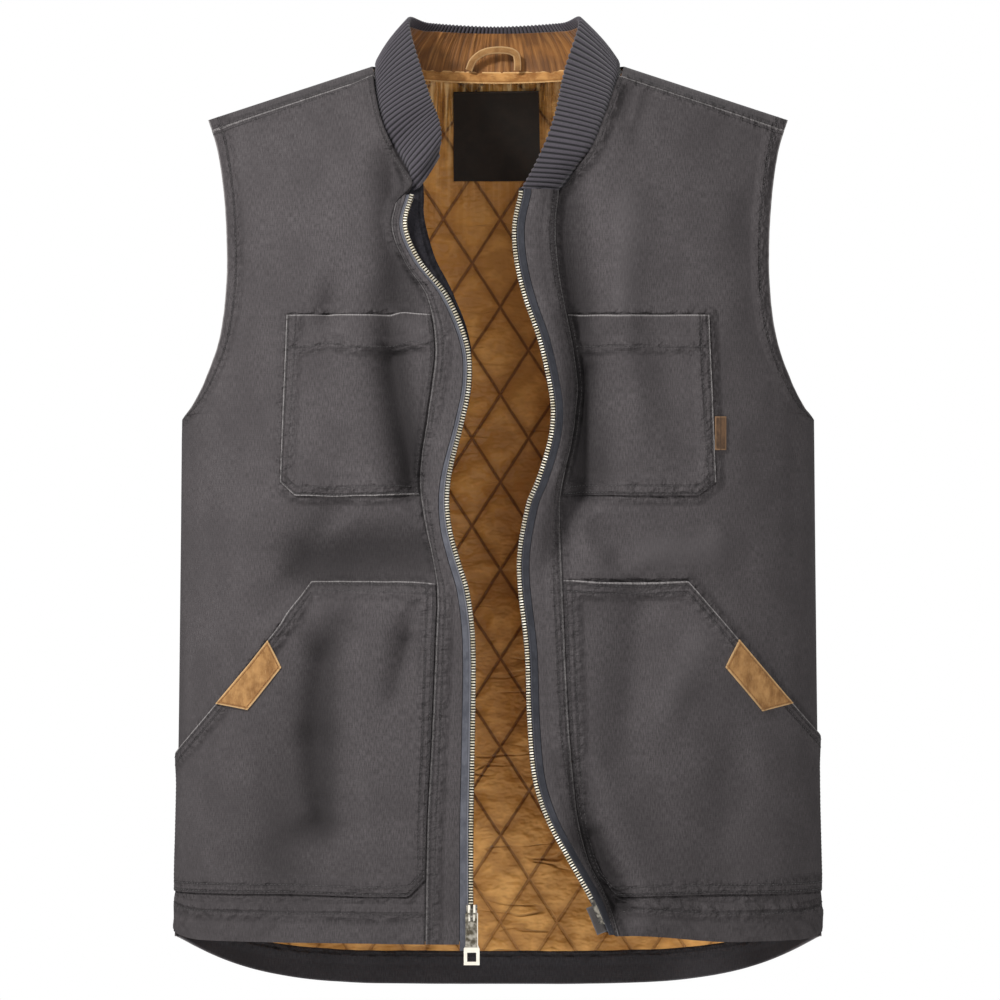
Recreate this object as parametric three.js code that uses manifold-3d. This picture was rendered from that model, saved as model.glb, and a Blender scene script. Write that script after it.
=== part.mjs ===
// A canvas work vest in the form it takes when worn: canvas fronts and back with a drop tail,
// a quilted lining, a rib-knit collar, patch pockets and an open front zip.
// Millimetres, +Z up. The front faces -Y and +X is the wearer's left.
// The origin is midway between the two neck points, on the shoulder line.
import * as THREE from "three";
import Module from "manifold-3d";
import { mergeVertices } from "three/addons/utils/BufferGeometryUtils.js";

const wasm = await Module();
wasm.setup();

// Sides and faces
const FRONT = -1;
const BACK = 1;
const RIGHT = -1;
const LEFT = 1;
const SIDE_NAMES = { [RIGHT]: "right", [LEFT]: "left" };

// Driving dimensions
const NECK_POINT_X = 101;
const SHOULDER_TIP_X = 234;
const SHOULDER_SLOPE = 0.327;
const SHOULDER_ROUND = 95;
const SHOULDER_SEAM_DROP = 11;
const UNDERARM_Z = -288.5;
const HEM_Z = -709;
const TAIL_DROP = 46;
const BACK_NECK_DROP = 4.6;
const ZIP_TOP_Z = -108;
const EDGE_TOP_Z = ZIP_TOP_Z - 1;
const EDGE_FADE = 70;
const CROSS_POWER = 2.2;
const FACING_UNDERLAP = 15;
const HEM_TURN = 19;
const TAIL_LINING_DROP = 36;

// Cloth thicknesses and the gaps between sewn pieces
const CANVAS = 1.6;
const GAP = 0.4;
const LINING_AT_STITCH = 2.2;
const LINING_AT_PUFF = 5.4;
const LINING_OUTER = -(CANVAS + GAP);
const PUFF_CLEARANCE = 0.9;
const ON_LINING = LINING_OUTER - LINING_AT_PUFF - PUFF_CLEARANCE;
const PLACKET_RAISED = 0.5;
const TAPE = 1;
const LABEL = 0.9;
const SIDE_SEAM_CLEARANCE = 0.002;
const SIDE_SEAM_ANGLE = Math.PI / 2 - SIDE_SEAM_CLEARANCE;
const LINING_EDGE_SHARE = 0.03;
const TAIL_FACING_SHARE = 0.05;

// Horizontal sections of the worn form
const BODY_SECTIONS = [
  { z: -780, halfWidth: 264.0, front: 110, back: 98 },
  { z: -700, halfWidth: 263.5, front: 110, back: 96 },
  { z: -600, halfWidth: 261.0, front: 108, back: 89 },
  { z: -450, halfWidth: 259.0, front: 112, back: 87 },
  { z: -288.5, halfWidth: 257.5, front: 118, back: 99 },
  { z: -200, halfWidth: 257.5, front: 112, back: 104 },
  { z: -100, halfWidth: 257.5, front: 97, back: 99 },
  { z: 0, halfWidth: 257.5, front: 78, back: 90 },
  { z: 60, halfWidth: 257.5, front: 66, back: 80 },
];

// The armhole edge, as a distance from the centre line
const ARMHOLE = [
  { z: -288.5, x: 257.5 },
  { z: -276, x: 247 },
  { z: -256, x: 236.5 },
  { z: -224, x: 225 },
  { z: -184, x: 218 },
  { z: -143, x: 216.5 },
  { z: -103, x: 218.5 },
  { z: -70, x: 224 },
  { z: -43.5, x: 234 },
];

// The front neckline, as a distance from the centre line
const NECKLINES = {
  [RIGHT]: [
    { z: -108, x: 80 },
    { z: -80, x: 83 },
    { z: -52, x: 92.5 },
    { z: -22, x: 99 },
    { z: 0, x: 101 },
  ],
  [LEFT]: [
    { z: -108, x: 48.8 },
    { z: -103, x: 51 },
    { z: -72, x: 74 },
    { z: -43, x: 86 },
    { z: -17, x: 95 },
    { z: 0, x: 101 },
  ],
};

// The open front edges: the placket's seam and the zip's teeth as distances from the centre line,
// and how far the edge stands forward of the worn form
const FRONT_EDGES = {
  [RIGHT]: [
    { z: -709, seam: 58.4, teeth: 21.6, lift: 5 },
    { z: -613, seam: 56.8, teeth: 21.6, lift: 4 },
    { z: -549, seam: 53.6, teeth: 20.4, lift: 4 },
    { z: -467, seam: 50.0, teeth: 20.0, lift: 6 },
    { z: -426, seam: 48.8, teeth: 24.8, lift: 9 },
    { z: -402, seam: 52.0, teeth: 32.0, lift: 8 },
    { z: -378, seam: 57.6, teeth: 38.4, lift: 5 },
    { z: -354, seam: 61.6, teeth: 40.8, lift: 3 },
    { z: -330, seam: 62.4, teeth: 38.4, lift: 4 },
    { z: -291, seam: 56.8, teeth: 28.8, lift: 8 },
    { z: -261, seam: 52.8, teeth: 23.2, lift: 8 },
    { z: -230, seam: 50.4, teeth: 24.8, lift: 6 },
    { z: -191, seam: 57.0, teeth: 40.8, lift: 10 },
    { z: -162, seam: 75.2, teeth: 63.1, lift: 14 },
    { z: -134, seam: 85.6, teeth: 74.3, lift: 14 },
    { z: -108, seam: 80.0, teeth: 68.7, lift: 8 },
  ],
  [LEFT]: [
    { z: -709, seam: 99.5, teeth: 90.0, lift: 14 },
    { z: -673, seam: 87.2, teeth: 75.1, lift: 20 },
    { z: -641, seam: 72.0, teeth: 57.2, lift: 18 },
    { z: -609, seam: 64.0, teeth: 40.0, lift: 14 },
    { z: -577, seam: 60.4, teeth: 29.6, lift: 9 },
    { z: -530, seam: 56.8, teeth: 25.2, lift: 6 },
    { z: -474, seam: 54.0, teeth: 23.2, lift: 5 },
    { z: -406, seam: 51.2, teeth: 16.8, lift: 4 },
    { z: -358, seam: 49.6, teeth: 24.0, lift: 8 },
    { z: -338, seam: 52.0, teeth: 32.0, lift: 10 },
    { z: -306, seam: 59.2, teeth: 41.6, lift: 10 },
    { z: -283, seam: 62.4, teeth: 44.0, lift: 8 },
    { z: -262, seam: 64.0, teeth: 41.6, lift: 6 },
    { z: -226, seam: 59.2, teeth: 33.6, lift: 4 },
    { z: -191, seam: 52.4, teeth: 21.6, lift: 4 },
    { z: -162, seam: 48.0, teeth: 14.8, lift: 5 },
    { z: -134, seam: 46.4, teeth: 13.2, lift: 6 },
    { z: -108, seam: 48.8, teeth: 18.4, lift: 6 },
  ],
};

// Soft folds: each runs along a line and stands out of the cloth by its height, or sinks in if that is negative
const FOLDS = [
  { face: FRONT, fromX: -86, fromZ: -180, toX: -82, toZ: -300, width: 15, height: -7 },
  { face: FRONT, fromX: -82, fromZ: -245, toX: -68, toZ: -345, width: 14, height: -7 },
  { face: FRONT, fromX: -150, fromZ: -500, toX: -182, toZ: -620, width: 20, height: -7 },
  { face: FRONT, fromX: -126, fromZ: -505, toX: -130, toZ: -615, width: 18, height: 5 },
  { face: FRONT, fromX: -76, fromZ: -445, toX: -84, toZ: -505, width: 13, height: -5 },
  { face: FRONT, fromX: -192, fromZ: -100, toX: -196, toZ: -210, width: 14, height: -4 },
  { face: FRONT, fromX: 84, fromZ: -85, toX: 62, toZ: -180, width: 14, height: -7 },
  { face: FRONT, fromX: 62, fromZ: -180, toX: 72, toZ: -320, width: 14, height: -7 },
  { face: FRONT, fromX: 104, fromZ: -120, toX: 96, toZ: -200, width: 18, height: 5 },
  { face: FRONT, fromX: 203, fromZ: -110, toX: 206, toZ: -205, width: 14, height: -4 },
  { face: FRONT, fromX: 110, fromZ: -440, toX: 100, toZ: -560, width: 20, height: -5 },
  { face: FRONT, fromX: 84, fromZ: -590, toX: 116, toZ: -690, width: 17, height: -9 },
  { face: FRONT, fromX: 190, fromZ: -560, toX: 180, toZ: -660, width: 24, height: 5 },
  { face: BACK, fromX: -112, fromZ: -440, toX: -136, toZ: -740, width: 32, height: 7 },
  { face: BACK, fromX: 118, fromZ: -460, toX: 142, toZ: -740, width: 32, height: 7 },
  { face: BACK, fromX: 6, fromZ: -520, toX: -4, toZ: -750, width: 44, height: -6 },
  { face: BACK, fromX: -60, fromZ: -90, toX: 62, toZ: -96, width: 26, height: 4 },
];

// The collar's top edge at stations along its seam, from the right front end round to the left front end
const COLLAR_TOP = [
  { along: 0.0, x: -46, y: -100, z: -79 },
  { along: 0.07, x: -44, y: -96, z: -62 },
  { along: 0.15, x: -53, y: -80, z: -32 },
  { along: 0.21, x: -61.5, y: -56, z: -4 },
  { along: 0.28, x: -72, y: -8, z: 38 },
  { along: 0.37, x: -55, y: 36, z: 38 },
  { along: 0.49, x: -2, y: 57, z: 36 },
  { along: 0.61, x: 51, y: 36, z: 38 },
  { along: 0.7, x: 65.5, y: -8, z: 38 },
  { along: 0.77, x: 53, y: -52, z: -5 },
  { along: 0.85, x: 44, y: -80, z: -46 },
  { along: 0.93, x: 31, y: -95, z: -81 },
  { along: 1.0, x: 19, y: -103, z: -104 },
];
const COLLAR_THICK = 3.2;
const COLLAR_RIBS = 52;
const COLLAR_RIB_DEPTH = 0.9;
const COLLAR_BULGE = 3;
const COLLAR_START = 0.07;
const COLLAR_FACING = { from: 0.2, to: 0.78, low: 0.08, high: 0.8, gap: 0.8 };

// Heights of the stations that carry the neck seam up each front, and how many carry it round the back
const NECK_SEAM_LEVELS = [-101, -80, -60, -42, -26, -12, -3];
const NECK_SEAM_BACK_STATIONS = 10;
const NECK_SEAM_BACK_INSET = 2;

// How far the right facing shows past the teeth where that edge rolls open
const FACING_ROLL = [
  { z: -240, reach: 0 },
  { z: -215, reach: 3 },
  { z: -188, reach: 8 },
  { z: -162, reach: 17 },
  { z: -134, reach: 25 },
  { z: -112, reach: 20 },
];
const FACING_ROLL_DEPTH = 0.9;

// Levels of the front panels' grid from the hem up. The pockets' edges lie on its rows and columns.
const FRONT_LEVELS = [
  -709, -690, -671, -640, -612, -583, -555, -536, -504, -465,
  -421, -385, -350, -336, -312, -288.5, -260, -232, -205,
];
const SHOULDER_SHARES = [0.24, 0.45, 0.74, 1];
const LEAST_ROW = 5;

// Cells of the back's grid: across each shoulder and the neck, and up the body, the shoulder and over it
const BACK_CELLS = { shoulder: 6, neck: 6, body: 14, round: 4, over: 2 };
const SHOULDER_SEAM_GAP = 0.02;

// The column where the chest pocket ends and the hand pocket's mouth starts to slant
const POCKET_LINE = [
  { z: -709, x: 152 },
  { z: -421, x: 152 },
  { z: -350, x: 175 },
  { z: -205, x: 169 },
  { z: -10, x: 165 },
];
const POCKET_LINE_COLUMN = 5;
const POCKET_LINE_INSET = 15;
const FLANK_SHARES = [0.33, 0.62, 0.86, 1];

// Pockets as rows and columns of that grid, with the length of the cut corners
const CHEST_POCKET = { bottomRow: 12, topRow: 18, corner: 0.85 };
const HAND_POCKET = { bottomRow: 2, topRow: 10, corner: 0.5 };
const POCKET_PATCH = { from: 0.28, to: 0.71, depth: 21, taper: 0.06, gap: 0.9 };
const POCKET_TAG = { z: -300, height: 27, width: 9, gap: 0.7 };

// Label, loop and tape at the back of the neck
const NECK_LABEL = { x: -1.7, top: -16, width: 69, height: 73 };
const HANGER_LOOP = { x: -4, width: 46, height: 20, strap: 6, corner: 12, cornerCells: 5, thick: 1.6 };
const HANGER_LOOP_LEAN = 0.2;
const HANGER_LOOP_ALONG = 0.443;
const NECK_TAPE = { reach: 87, drop: 1.5, height: 7, thick: 1.2 };

// Zip hardware
const ZIP_STRIP = { tapeWidth: 5, teethHalf: 1.8, front: 1.2, back: -1.6, tail: 5 };
const ZIP_SLIDER = { x: -21, z: -684, width: 9, foot: 6.6, height: 14, depth: 4.4 };
const ZIP_BAIL = { gap: 2.6, wire: 1.4, below: 1.3, above: 2, width: 2.4, sunk: 0.6 };
const ZIP_PULL = { width: 12.6, stem: 10, length: 41, thick: 1.4, bar: 0.7, rail: 2.7 };
const ZIP_PULL_SLOT = { width: 5.2, end: -6 };
const ZIP_PULL_SHOULDER = { top: -25, bottom: -28 };
const ZIP_PULL_WINDOW_TOP = -31;
const ZIP_BOX = { width: 8, height: 8, depth: 3.4 };
const ZIP_PIN_TOP_Z = -672;
const ZIP_PIN_END_Z = -692;

// Finishes
const finish = (color, roughness, metalness = 0) =>
  new THREE.MeshStandardMaterial({ color, roughness, metalness });
const canvasGrey = finish("#565253", 0.95);
const liningBrown = finish("#8f5f2a", 0.7);
const ribGrey = finish("#4c4a52", 0.95);
const facingBrown = finish("#8a5c2c", 0.9);
const tapeGrey = finish("#3f4148", 0.9);
const patchTan = finish("#b98445", 0.9);
const labelDark = finish("#1d1611", 0.8);
const brass = finish("#c9b384", 0.35, 1);

// Numbers and tables
const lerp = THREE.MathUtils.lerp;
const clamp = THREE.MathUtils.clamp;
const steps = (from, to, count) => Array.from({ length: count + 1 }, (_, i) => lerp(from, to, i / count));

// A smooth curve through a table's rows: one column as a function of another, which rises from row to row.
function profile(rows, input, output) {
  const slopeAt = (i) => {
    const before = rows[Math.max(i - 1, 0)];
    const after = rows[Math.min(i + 1, rows.length - 1)];
    return (after[output] - before[output]) / (after[input] - before[input]);
  };
  return (value) => {
    const held = clamp(value, rows[0][input], rows[rows.length - 1][input]);
    let i = 0;
    while (i < rows.length - 2 && held > rows[i + 1][input]) i++;
    const [a, b] = [rows[i], rows[i + 1]];
    const span = b[input] - a[input];
    const t = (held - a[input]) / span;
    const rise = t * t * (3 - 2 * t);
    const leave = t * (1 - t) * (1 - t) * span * slopeAt(i);
    const arrive = t * t * (t - 1) * span * slopeAt(i + 1);
    return lerp(a[output], b[output], rise) + leave + arrive;
  };
}

const halfWidth = profile(BODY_SECTIONS, "z", "halfWidth");
const frontDepth = profile(BODY_SECTIONS, "z", "front");
const backDepth = profile(BODY_SECTIONS, "z", "back");
const armholeX = profile(ARMHOLE, "z", "x");
const facingReach = profile(FACING_ROLL, "z", "reach");
const bySide = (make) => ({ [RIGHT]: make(RIGHT), [LEFT]: make(LEFT) });
const necklineX = bySide((side) => profile(NECKLINES[side], "z", "x"));
const seamX = bySide((side) => profile(FRONT_EDGES[side], "z", "seam"));
const teethX = bySide((side) => profile(FRONT_EDGES[side], "z", "teeth"));
const edgeLift = bySide((side) => profile(FRONT_EDGES[side], "z", "lift"));

// The worn form

// Height of the shoulder line. Between the neck points it carries on as a low arch inside the neck opening.
function ridgeHeight(x) {
  const out = Math.abs(x);
  if (out >= NECK_POINT_X) return -SHOULDER_SLOPE * (out - NECK_POINT_X);
  return (SHOULDER_SLOPE * (NECK_POINT_X ** 2 - out ** 2)) / (2 * NECK_POINT_X);
}

function foldHeight(face, x, z) {
  let height = 0;
  for (const fold of FOLDS) {
    if (fold.face !== face) continue;
    const [dx, dz] = [fold.toX - fold.fromX, fold.toZ - fold.fromZ];
    const along = clamp(((x - fold.fromX) * dx + (z - fold.fromZ) * dz) / (dx * dx + dz * dz), 0, 1);
    const away = Math.hypot(x - fold.fromX - along * dx, z - fold.fromZ - along * dz);
    height += fold.height * Math.exp(-((away / fold.width) ** 2));
  }
  return height;
}

// How far the open front edge carries the cloth forward at this place.
function liftAt(x, z) {
  const side = x < 0 ? RIGHT : LEFT;
  const fade = clamp(1 - (Math.abs(x) - seamX[side](z)) / EDGE_FADE, 0, 1);
  return edgeLift[side](z) * fade * fade * (3 - 2 * fade);
}

// A point of the outer cloth. The angle runs from 0 on the centre line to a right angle at the side seam.
function bodyPoint(face, angle, z) {
  const power = 2 / CROSS_POWER;
  const x = Math.sign(angle) * halfWidth(z) * Math.abs(Math.sin(angle)) ** power;
  const flank = Math.max(Math.cos(angle), 0) ** power;
  const below = clamp((ridgeHeight(x) - z) / SHOULDER_ROUND, 0, 1);
  const shoulder = Math.sqrt(1 - (1 - below) ** 2);
  const depth = face === FRONT ? frontDepth(z) + liftAt(x, z) : backDepth(z);
  return new THREE.Vector3(x, face * (depth + foldHeight(face, x, z)) * flank * shoulder, z);
}

const angleOf = (x, z) => Math.asin(clamp(x / halfWidth(z), 0, 1) ** (CROSS_POWER / 2));
const frontPoint = (side, x, z) => bodyPoint(FRONT, side * Math.min(angleOf(x, z), SIDE_SEAM_ANGLE), z);
const backPoint = (x, z) => bodyPoint(BACK, Math.sign(x) * angleOf(Math.abs(x), z), z);

// The outer edge of the panels: the side seam, and above the underarm the armhole
const outerX = (z) => (z <= UNDERARM_Z ? halfWidth(z) : armholeX(z));
const outerAngle = (z) => Math.min(angleOf(outerX(z), z), SIDE_SEAM_ANGLE);
const panelEdgeX = (side, z) => (z > ZIP_TOP_Z ? necklineX[side](z) : seamX[side](z));

// Lower edges of the back: the tail's edge and the lining's edge above it drop towards the centre
const towardsCentre = (x) => 1 - Math.min(Math.abs(x) / halfWidth(HEM_Z), 1) ** 3;
const tailZ = (x) => HEM_Z - TAIL_DROP * towardsCentre(x);
const tailLiningZ = (x) => HEM_Z + HEM_TURN - TAIL_LINING_DROP * towardsCentre(x);
const backNeckZ = (x) => -BACK_NECK_DROP * (1 - (x / NECK_POINT_X) ** 2);
const backTopZ = (x) => (Math.abs(x) < NECK_POINT_X ? backNeckZ(x) : ridgeHeight(x));

// Solids

// A closed wall between two skins over a grid of cells, each cut in two. Every free edge gets a rim.
function wall({ rows, columns, outer, inner, keeps = () => true, crossesBack = () => false }) {
  const positions = [];
  for (const skin of [outer, inner])
    for (let i = 0; i < rows; i++)
      for (let j = 0; j < columns; j++) positions.push(...skin(i, j).toArray());
  const innerSkin = rows * columns;
  const faces = [];
  for (let i = 0; i < rows - 1; i++) {
    for (let j = 0; j < columns - 1; j++) {
      const a = i * columns + j;
      const [b, c, d] = [a + 1, a + columns + 1, a + columns];
      const halves = crossesBack(i, j) ? [[a, b, d], [b, c, d]] : [[a, b, c], [a, c, d]];
      halves.forEach((half, k) => keeps(i, j, k) && faces.push(half));
    }
  }
  const edges = faces.flatMap(([p, q, r]) => [[p, q], [q, r], [r, p]]);
  const known = new Set(edges.map(([p, q]) => `${p} ${q}`));
  const triangles = faces.flatMap(([p, q, r]) => [p, q, r, innerSkin + r, innerSkin + q, innerSkin + p]);
  for (const [p, q] of edges)
    if (!known.has(`${q} ${p}`)) triangles.push(q, p, innerSkin + p, q, innerSkin + p, innerSkin + q);
  return facingOut(positions, triangles);
}

// A geometry whose faces are turned to point out of its volume.
function facingOut(positions, triangles) {
  const at = (k) => new THREE.Vector3().fromArray(positions, 3 * triangles[k]);
  let volume = 0;
  for (let k = 0; k < triangles.length; k += 3) volume += at(k).dot(at(k + 1).cross(at(k + 2)));
  if (volume < 0)
    for (let k = 0; k < triangles.length; k += 3)
      [triangles[k + 1], triangles[k + 2]] = [triangles[k + 2], triangles[k + 1]];
  const geometry = new THREE.BufferGeometry();
  geometry.setAttribute("position", new THREE.Float32BufferAttribute(positions, 3));
  geometry.setIndex(triangles);
  return geometry;
}

// A place on the cloth with the way out of it, as seen from inside the worn form.
const OUT_OF_FORM = { across: 0.4, up: 40 };
function placed(at, s, t) {
  const step = 1e-3;
  const alongS = at(s + step, t).sub(at(s - step, t));
  const alongT = at(s, t + step).sub(at(s, t - step));
  const out = alongS.cross(alongT).normalize();
  const point = at(s, t);
  const fromInside = new THREE.Vector3(OUT_OF_FORM.across * point.x, point.y, OUT_OF_FORM.up);
  return { point, out: out.dot(fromInside) < 0 ? out.negate() : out };
}

// Cloth laid along a grid of places, from one offset to another along their ways out.
function cloth({ places, outer, inner, ...rest }) {
  const skin = (offset) => (i, j) => {
    const distance = typeof offset === "function" ? offset(i, j) : offset;
    return places[i][j].point.clone().addScaledVector(places[i][j].out, distance);
  };
  const size = { rows: places.length, columns: places[0].length };
  return wall({ ...size, outer: skin(outer), inner: skin(inner), ...rest });
}

// The places of a surface at the given steps across and up.
const grid = (at, across, up) => up.map((t) => across.map((s) => placed(at, s, t)));
const between = (a, b, share) => ({
  point: a.point.clone().lerp(b.point, share),
  out: a.out.clone().lerp(b.out, share).normalize(),
});

// Cells are cut along the lining's stitch lines, in every layer that lies on the same grid. Blocks of the
// grid start an even number of rows and columns in, so their own counts fall on the same lines.
const onStitchLines = (i, j) => (i + j) % 2 === 0;
const puffed = (i, j) => LINING_OUTER - ((i + j) % 2 ? LINING_AT_STITCH : LINING_AT_PUFF);
const canvasWall = { outer: 0, inner: -CANVAS, crossesBack: onStitchLines };
const quiltedWall = { outer: LINING_OUTER, inner: puffed, crossesBack: onStitchLines };

// Plates cut from a drawn outline
const outline = (points) => new THREE.Shape(points.map(([x, y]) => new THREE.Vector2(x, y)));
const rectangle = (left, bottom, right, top) =>
  outline([
    [left, bottom],
    [right, bottom],
    [right, top],
    [left, top],
  ]);
const extrude = (shape, depth) => new THREE.ExtrudeGeometry(shape, { depth, bevelEnabled: false });

function mesh(name, geometry, material) {
  const made = new THREE.Mesh(geometry, material);
  made.name = name;
  return made;
}

const vest = new THREE.Group();
const add = (name, geometry, material) => vest.add(mesh(name, geometry, material));
const sided = (name, side) => `${name}_${SIDE_NAMES[side]}`;

// Fronts: panel, lining and pockets share one grid of places

const frontAt = (angle, z) => bodyPoint(FRONT, angle, z);
const placeAt = (side, x, z) => placed(frontAt, side * Math.min(angleOf(x, z), SIDE_SEAM_ANGLE), z);
const pocketLineX = profile(POCKET_LINE, "z", "x");

// Distances from the centre line of the grid's columns at one level
function columnsAt(side, edgeZ, lineZ, outZ) {
  const edge = panelEdgeX(side, edgeZ) + GAP / 2;
  const line = pocketLineX(lineZ);
  const facingEnd = edge + FACING_UNDERLAP;
  const chest = steps(facingEnd, line - POCKET_LINE_INSET, POCKET_LINE_COLUMN - 2);
  return [edge, ...chest, line, ...FLANK_SHARES.map((share) => lerp(line, outerX(outZ), share))];
}

function frontPlaces(side) {
  const seamZ = (x) => ridgeHeight(x) - SHOULDER_SEAM_DROP;
  const tipZ = seamZ(SHOULDER_TIP_X);
  const chestZ = FRONT_LEVELS[FRONT_LEVELS.length - 1];
  const level = (z) => columnsAt(side, z, z, z).map((x) => placeAt(side, x, z));
  const shoulderX = columnsAt(side, -SHOULDER_SEAM_DROP, -SHOULDER_SEAM_DROP, tipZ);
  const fan = (share) => {
    const heights = shoulderX.map((x) => lerp(chestZ, seamZ(x), share));
    const [edgeZ, lineZ, outZ] = [heights[0], heights[POCKET_LINE_COLUMN], heights[heights.length - 1]];
    return columnsAt(side, edgeZ, lineZ, outZ).map((x, j) => placeAt(side, x, heights[j]));
  };
  return [...FRONT_LEVELS.map(level), ...SHOULDER_SHARES.map(fan)];
}

const fronts = bySide(frontPlaces);
const frontPanel = (side) => cloth({ places: fronts[side], ...canvasWall });

// The lining starts above the hem's turning and behind the facing.
function frontLining(side) {
  const places = fronts[side].slice(1).map((row) => {
    const [first, second, ...others] = row.slice(1);
    return [between(first, second, LINING_EDGE_SHARE), second, ...others];
  });
  return cloth({ places, ...quiltedWall });
}

// Pocket cloth on a block of the grid
const onPanel = { outer: GAP + CANVAS, inner: GAP, crossesBack: onStitchLines };
function pocketPlaces(side, { bottomRow, topRow }, fromColumn, toColumn) {
  return fronts[side].slice(bottomRow, topRow + 1).map((row) => row.slice(fromColumn, toColumn + 1));
}

function chestPocket(side) {
  const places = pocketPlaces(side, CHEST_POCKET, 0, POCKET_LINE_COLUMN);
  const [inside, corner] = places[0].slice(-2);
  places[0][POCKET_LINE_COLUMN] = between(corner, inside, CHEST_POCKET.corner);
  return cloth({ places, ...onPanel });
}

// The hand pocket's mouth runs level from the placket, then slants down along the cut lines to the side.
function handPocket(side) {
  const lastColumn = fronts[side][0].length - 1;
  const places = pocketPlaces(side, HAND_POCKET, 0, lastColumn);
  places[0][0] = between(places[0][0], places[1][0], HAND_POCKET.corner);
  const slantSum = HAND_POCKET.topRow - HAND_POCKET.bottomRow + POCKET_LINE_COLUMN;
  const keeps = (i, j, half) => i + j + half < slantSum || j < POCKET_LINE_COLUMN;
  return cloth({ places, ...onPanel, keeps });
}

// Reinforcing patch along the middle of the slanted mouth, a little shorter along its inner edge
function pocketPatch(side) {
  const { from, to, depth, taper, gap } = POCKET_PATCH;
  const top = FRONT_LEVELS[HAND_POCKET.topRow];
  const low = FRONT_LEVELS[HAND_POCKET.topRow - FLANK_SHARES.length];
  const start = new THREE.Vector2(pocketLineX(top), top);
  const end = new THREE.Vector2(halfWidth(low), low);
  const slant = end.clone().sub(start);
  const inwards = new THREE.Vector2(slant.y, -slant.x).normalize();
  const at = (s, t) => {
    const along = lerp(from + taper * t, to - taper * t, s);
    const { x, y } = start.clone().addScaledVector(slant, along).addScaledVector(inwards, GAP + depth * t);
    return frontPoint(side, x, y);
  };
  const inner = GAP + CANVAS + gap;
  return cloth({ places: grid(at, steps(0, 1, 4), [0, 0.5, 1]), outer: inner + CANVAS, inner });
}

function pocketTag() {
  const { z, height, width, gap } = POCKET_TAG;
  const at = (s, t) => frontPoint(LEFT, pocketLineX(z) + 2 * GAP + width * s, z + height * (t - 0.5));
  return cloth({ places: grid(at, [0, 0.5, 1], [0, 0.5, 1]), outer: gap + TAPE, inner: gap });
}

// Back: panel, lining and tail facing share one grid. It passes over the shoulder to the seam in front of it.

// Below 0 the tail, from 0 up to where the shoulder starts to round over at 1, over the shoulder line at 2.
function rise(t, x, bottomX) {
  const top = backTopZ(x);
  const bottom = tailLiningZ(bottomX);
  if (t <= 0) return lerp(bottom, tailZ(bottomX), -t);
  if (t <= 1) return lerp(bottom, top - SHOULDER_ROUND, t);
  return top - SHOULDER_ROUND * (1 - Math.cos((2 - t) * (Math.PI / 2)));
}

const NECK_ANGLE = angleOf(NECK_POINT_X, 0);
const TIP_ANGLE = angleOf(SHOULDER_TIP_X, ridgeHeight(SHOULDER_TIP_X));
const NECK_SHARE = NECK_ANGLE / TIP_ANGLE;
const SEAM_ROLL = Math.acos(1 - SHOULDER_SEAM_DROP / SHOULDER_ROUND) / (Math.PI / 2);
const sectionX = (angle, z) => halfWidth(z) * Math.abs(Math.sin(angle)) ** (2 / CROSS_POWER);

function backAt(s, t) {
  const outZ = rise(t, SHOULDER_TIP_X, halfWidth(HEM_Z));
  const angle = s * outerAngle(outZ);
  const bottomX = sectionX((s * Math.PI) / 2, HEM_Z);
  return bodyPoint(t <= 2 ? BACK : FRONT, angle, rise(t, sectionX(angle, outZ), bottomX));
}

const BACK_ACROSS = [
  ...steps(-1, -NECK_SHARE, BACK_CELLS.shoulder),
  ...steps(-NECK_SHARE, NECK_SHARE, BACK_CELLS.neck).slice(1),
  ...steps(NECK_SHARE, 1, BACK_CELLS.shoulder).slice(1),
];
const overShoulder = steps(2, 2 + SEAM_ROLL - SHOULDER_SEAM_GAP, BACK_CELLS.over).slice(1);
const tailSteps = [-1, -0.5];
const bodySteps = steps(0, 1, BACK_CELLS.body);
const BACK_UP = [...tailSteps, ...bodySteps, ...steps(1, 2, BACK_CELLS.round).slice(1), ...overShoulder];
const backPlaces = grid(backAt, BACK_ACROSS, BACK_UP);
const neckRow = BACK_UP.length - 1 - overShoulder.length;
const outsideNeck = (j) => Math.abs(BACK_ACROSS[j] + BACK_ACROSS[j + 1]) > 2 * NECK_SHARE;

const backPanel = () =>
  cloth({ places: backPlaces, ...canvasWall, keeps: (i, j) => i < neckRow || outsideNeck(j) });

const backLining = () =>
  cloth({
    places: backPlaces.slice(tailSteps.length),
    ...quiltedWall,
    keeps: (i, j) => i + tailSteps.length < neckRow || outsideNeck(j),
  });

// Canvas facing inside the tail, below the lining's edge
function tailFacing() {
  const places = backPlaces.slice(0, tailSteps.length + 1);
  const upper = places[tailSteps.length];
  const lower = places[tailSteps.length - 1];
  places[tailSteps.length] = upper.map((place, j) => between(place, lower[j], TAIL_FACING_SHARE));
  return cloth({ places, outer: LINING_OUTER, inner: LINING_OUTER - CANVAS, crossesBack: onStitchLines });
}

// Front edges: placket, zip tape, teeth and inside facing follow the edge table, row by row with the panel

const edgeLevels = bySide((side) => {
  const panelRows = fronts[side].map((row) => row[0].point.z);
  return [...panelRows.filter((z) => z < EDGE_TOP_Z - LEAST_ROW), EDGE_TOP_Z];
});

// Strips along a front edge, through columns given as distances from the centre line
const edgePlaces = (side, levels, columns) => levels.map((z) => columns.map((x) => placeAt(side, x(z), z)));
const tapeNear = (side) => (z) => teethX[side](z) + ZIP_STRIP.teethHalf + GAP;
const tapeFar = (side) => (z) => teethX[side](z) + ZIP_STRIP.tapeWidth;

function placketColumns(side) {
  const near = (z) => tapeFar(side)(z) + GAP;
  const far = (z) => seamX[side](z) - GAP / 2;
  return [near, (z) => (near(z) + far(z)) / 2, far];
}

function placket(side) {
  const places = edgePlaces(side, edgeLevels[side], placketColumns(side));
  return cloth({ places, outer: PLACKET_RAISED, inner: -CANVAS, crossesBack: onStitchLines });
}

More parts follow.
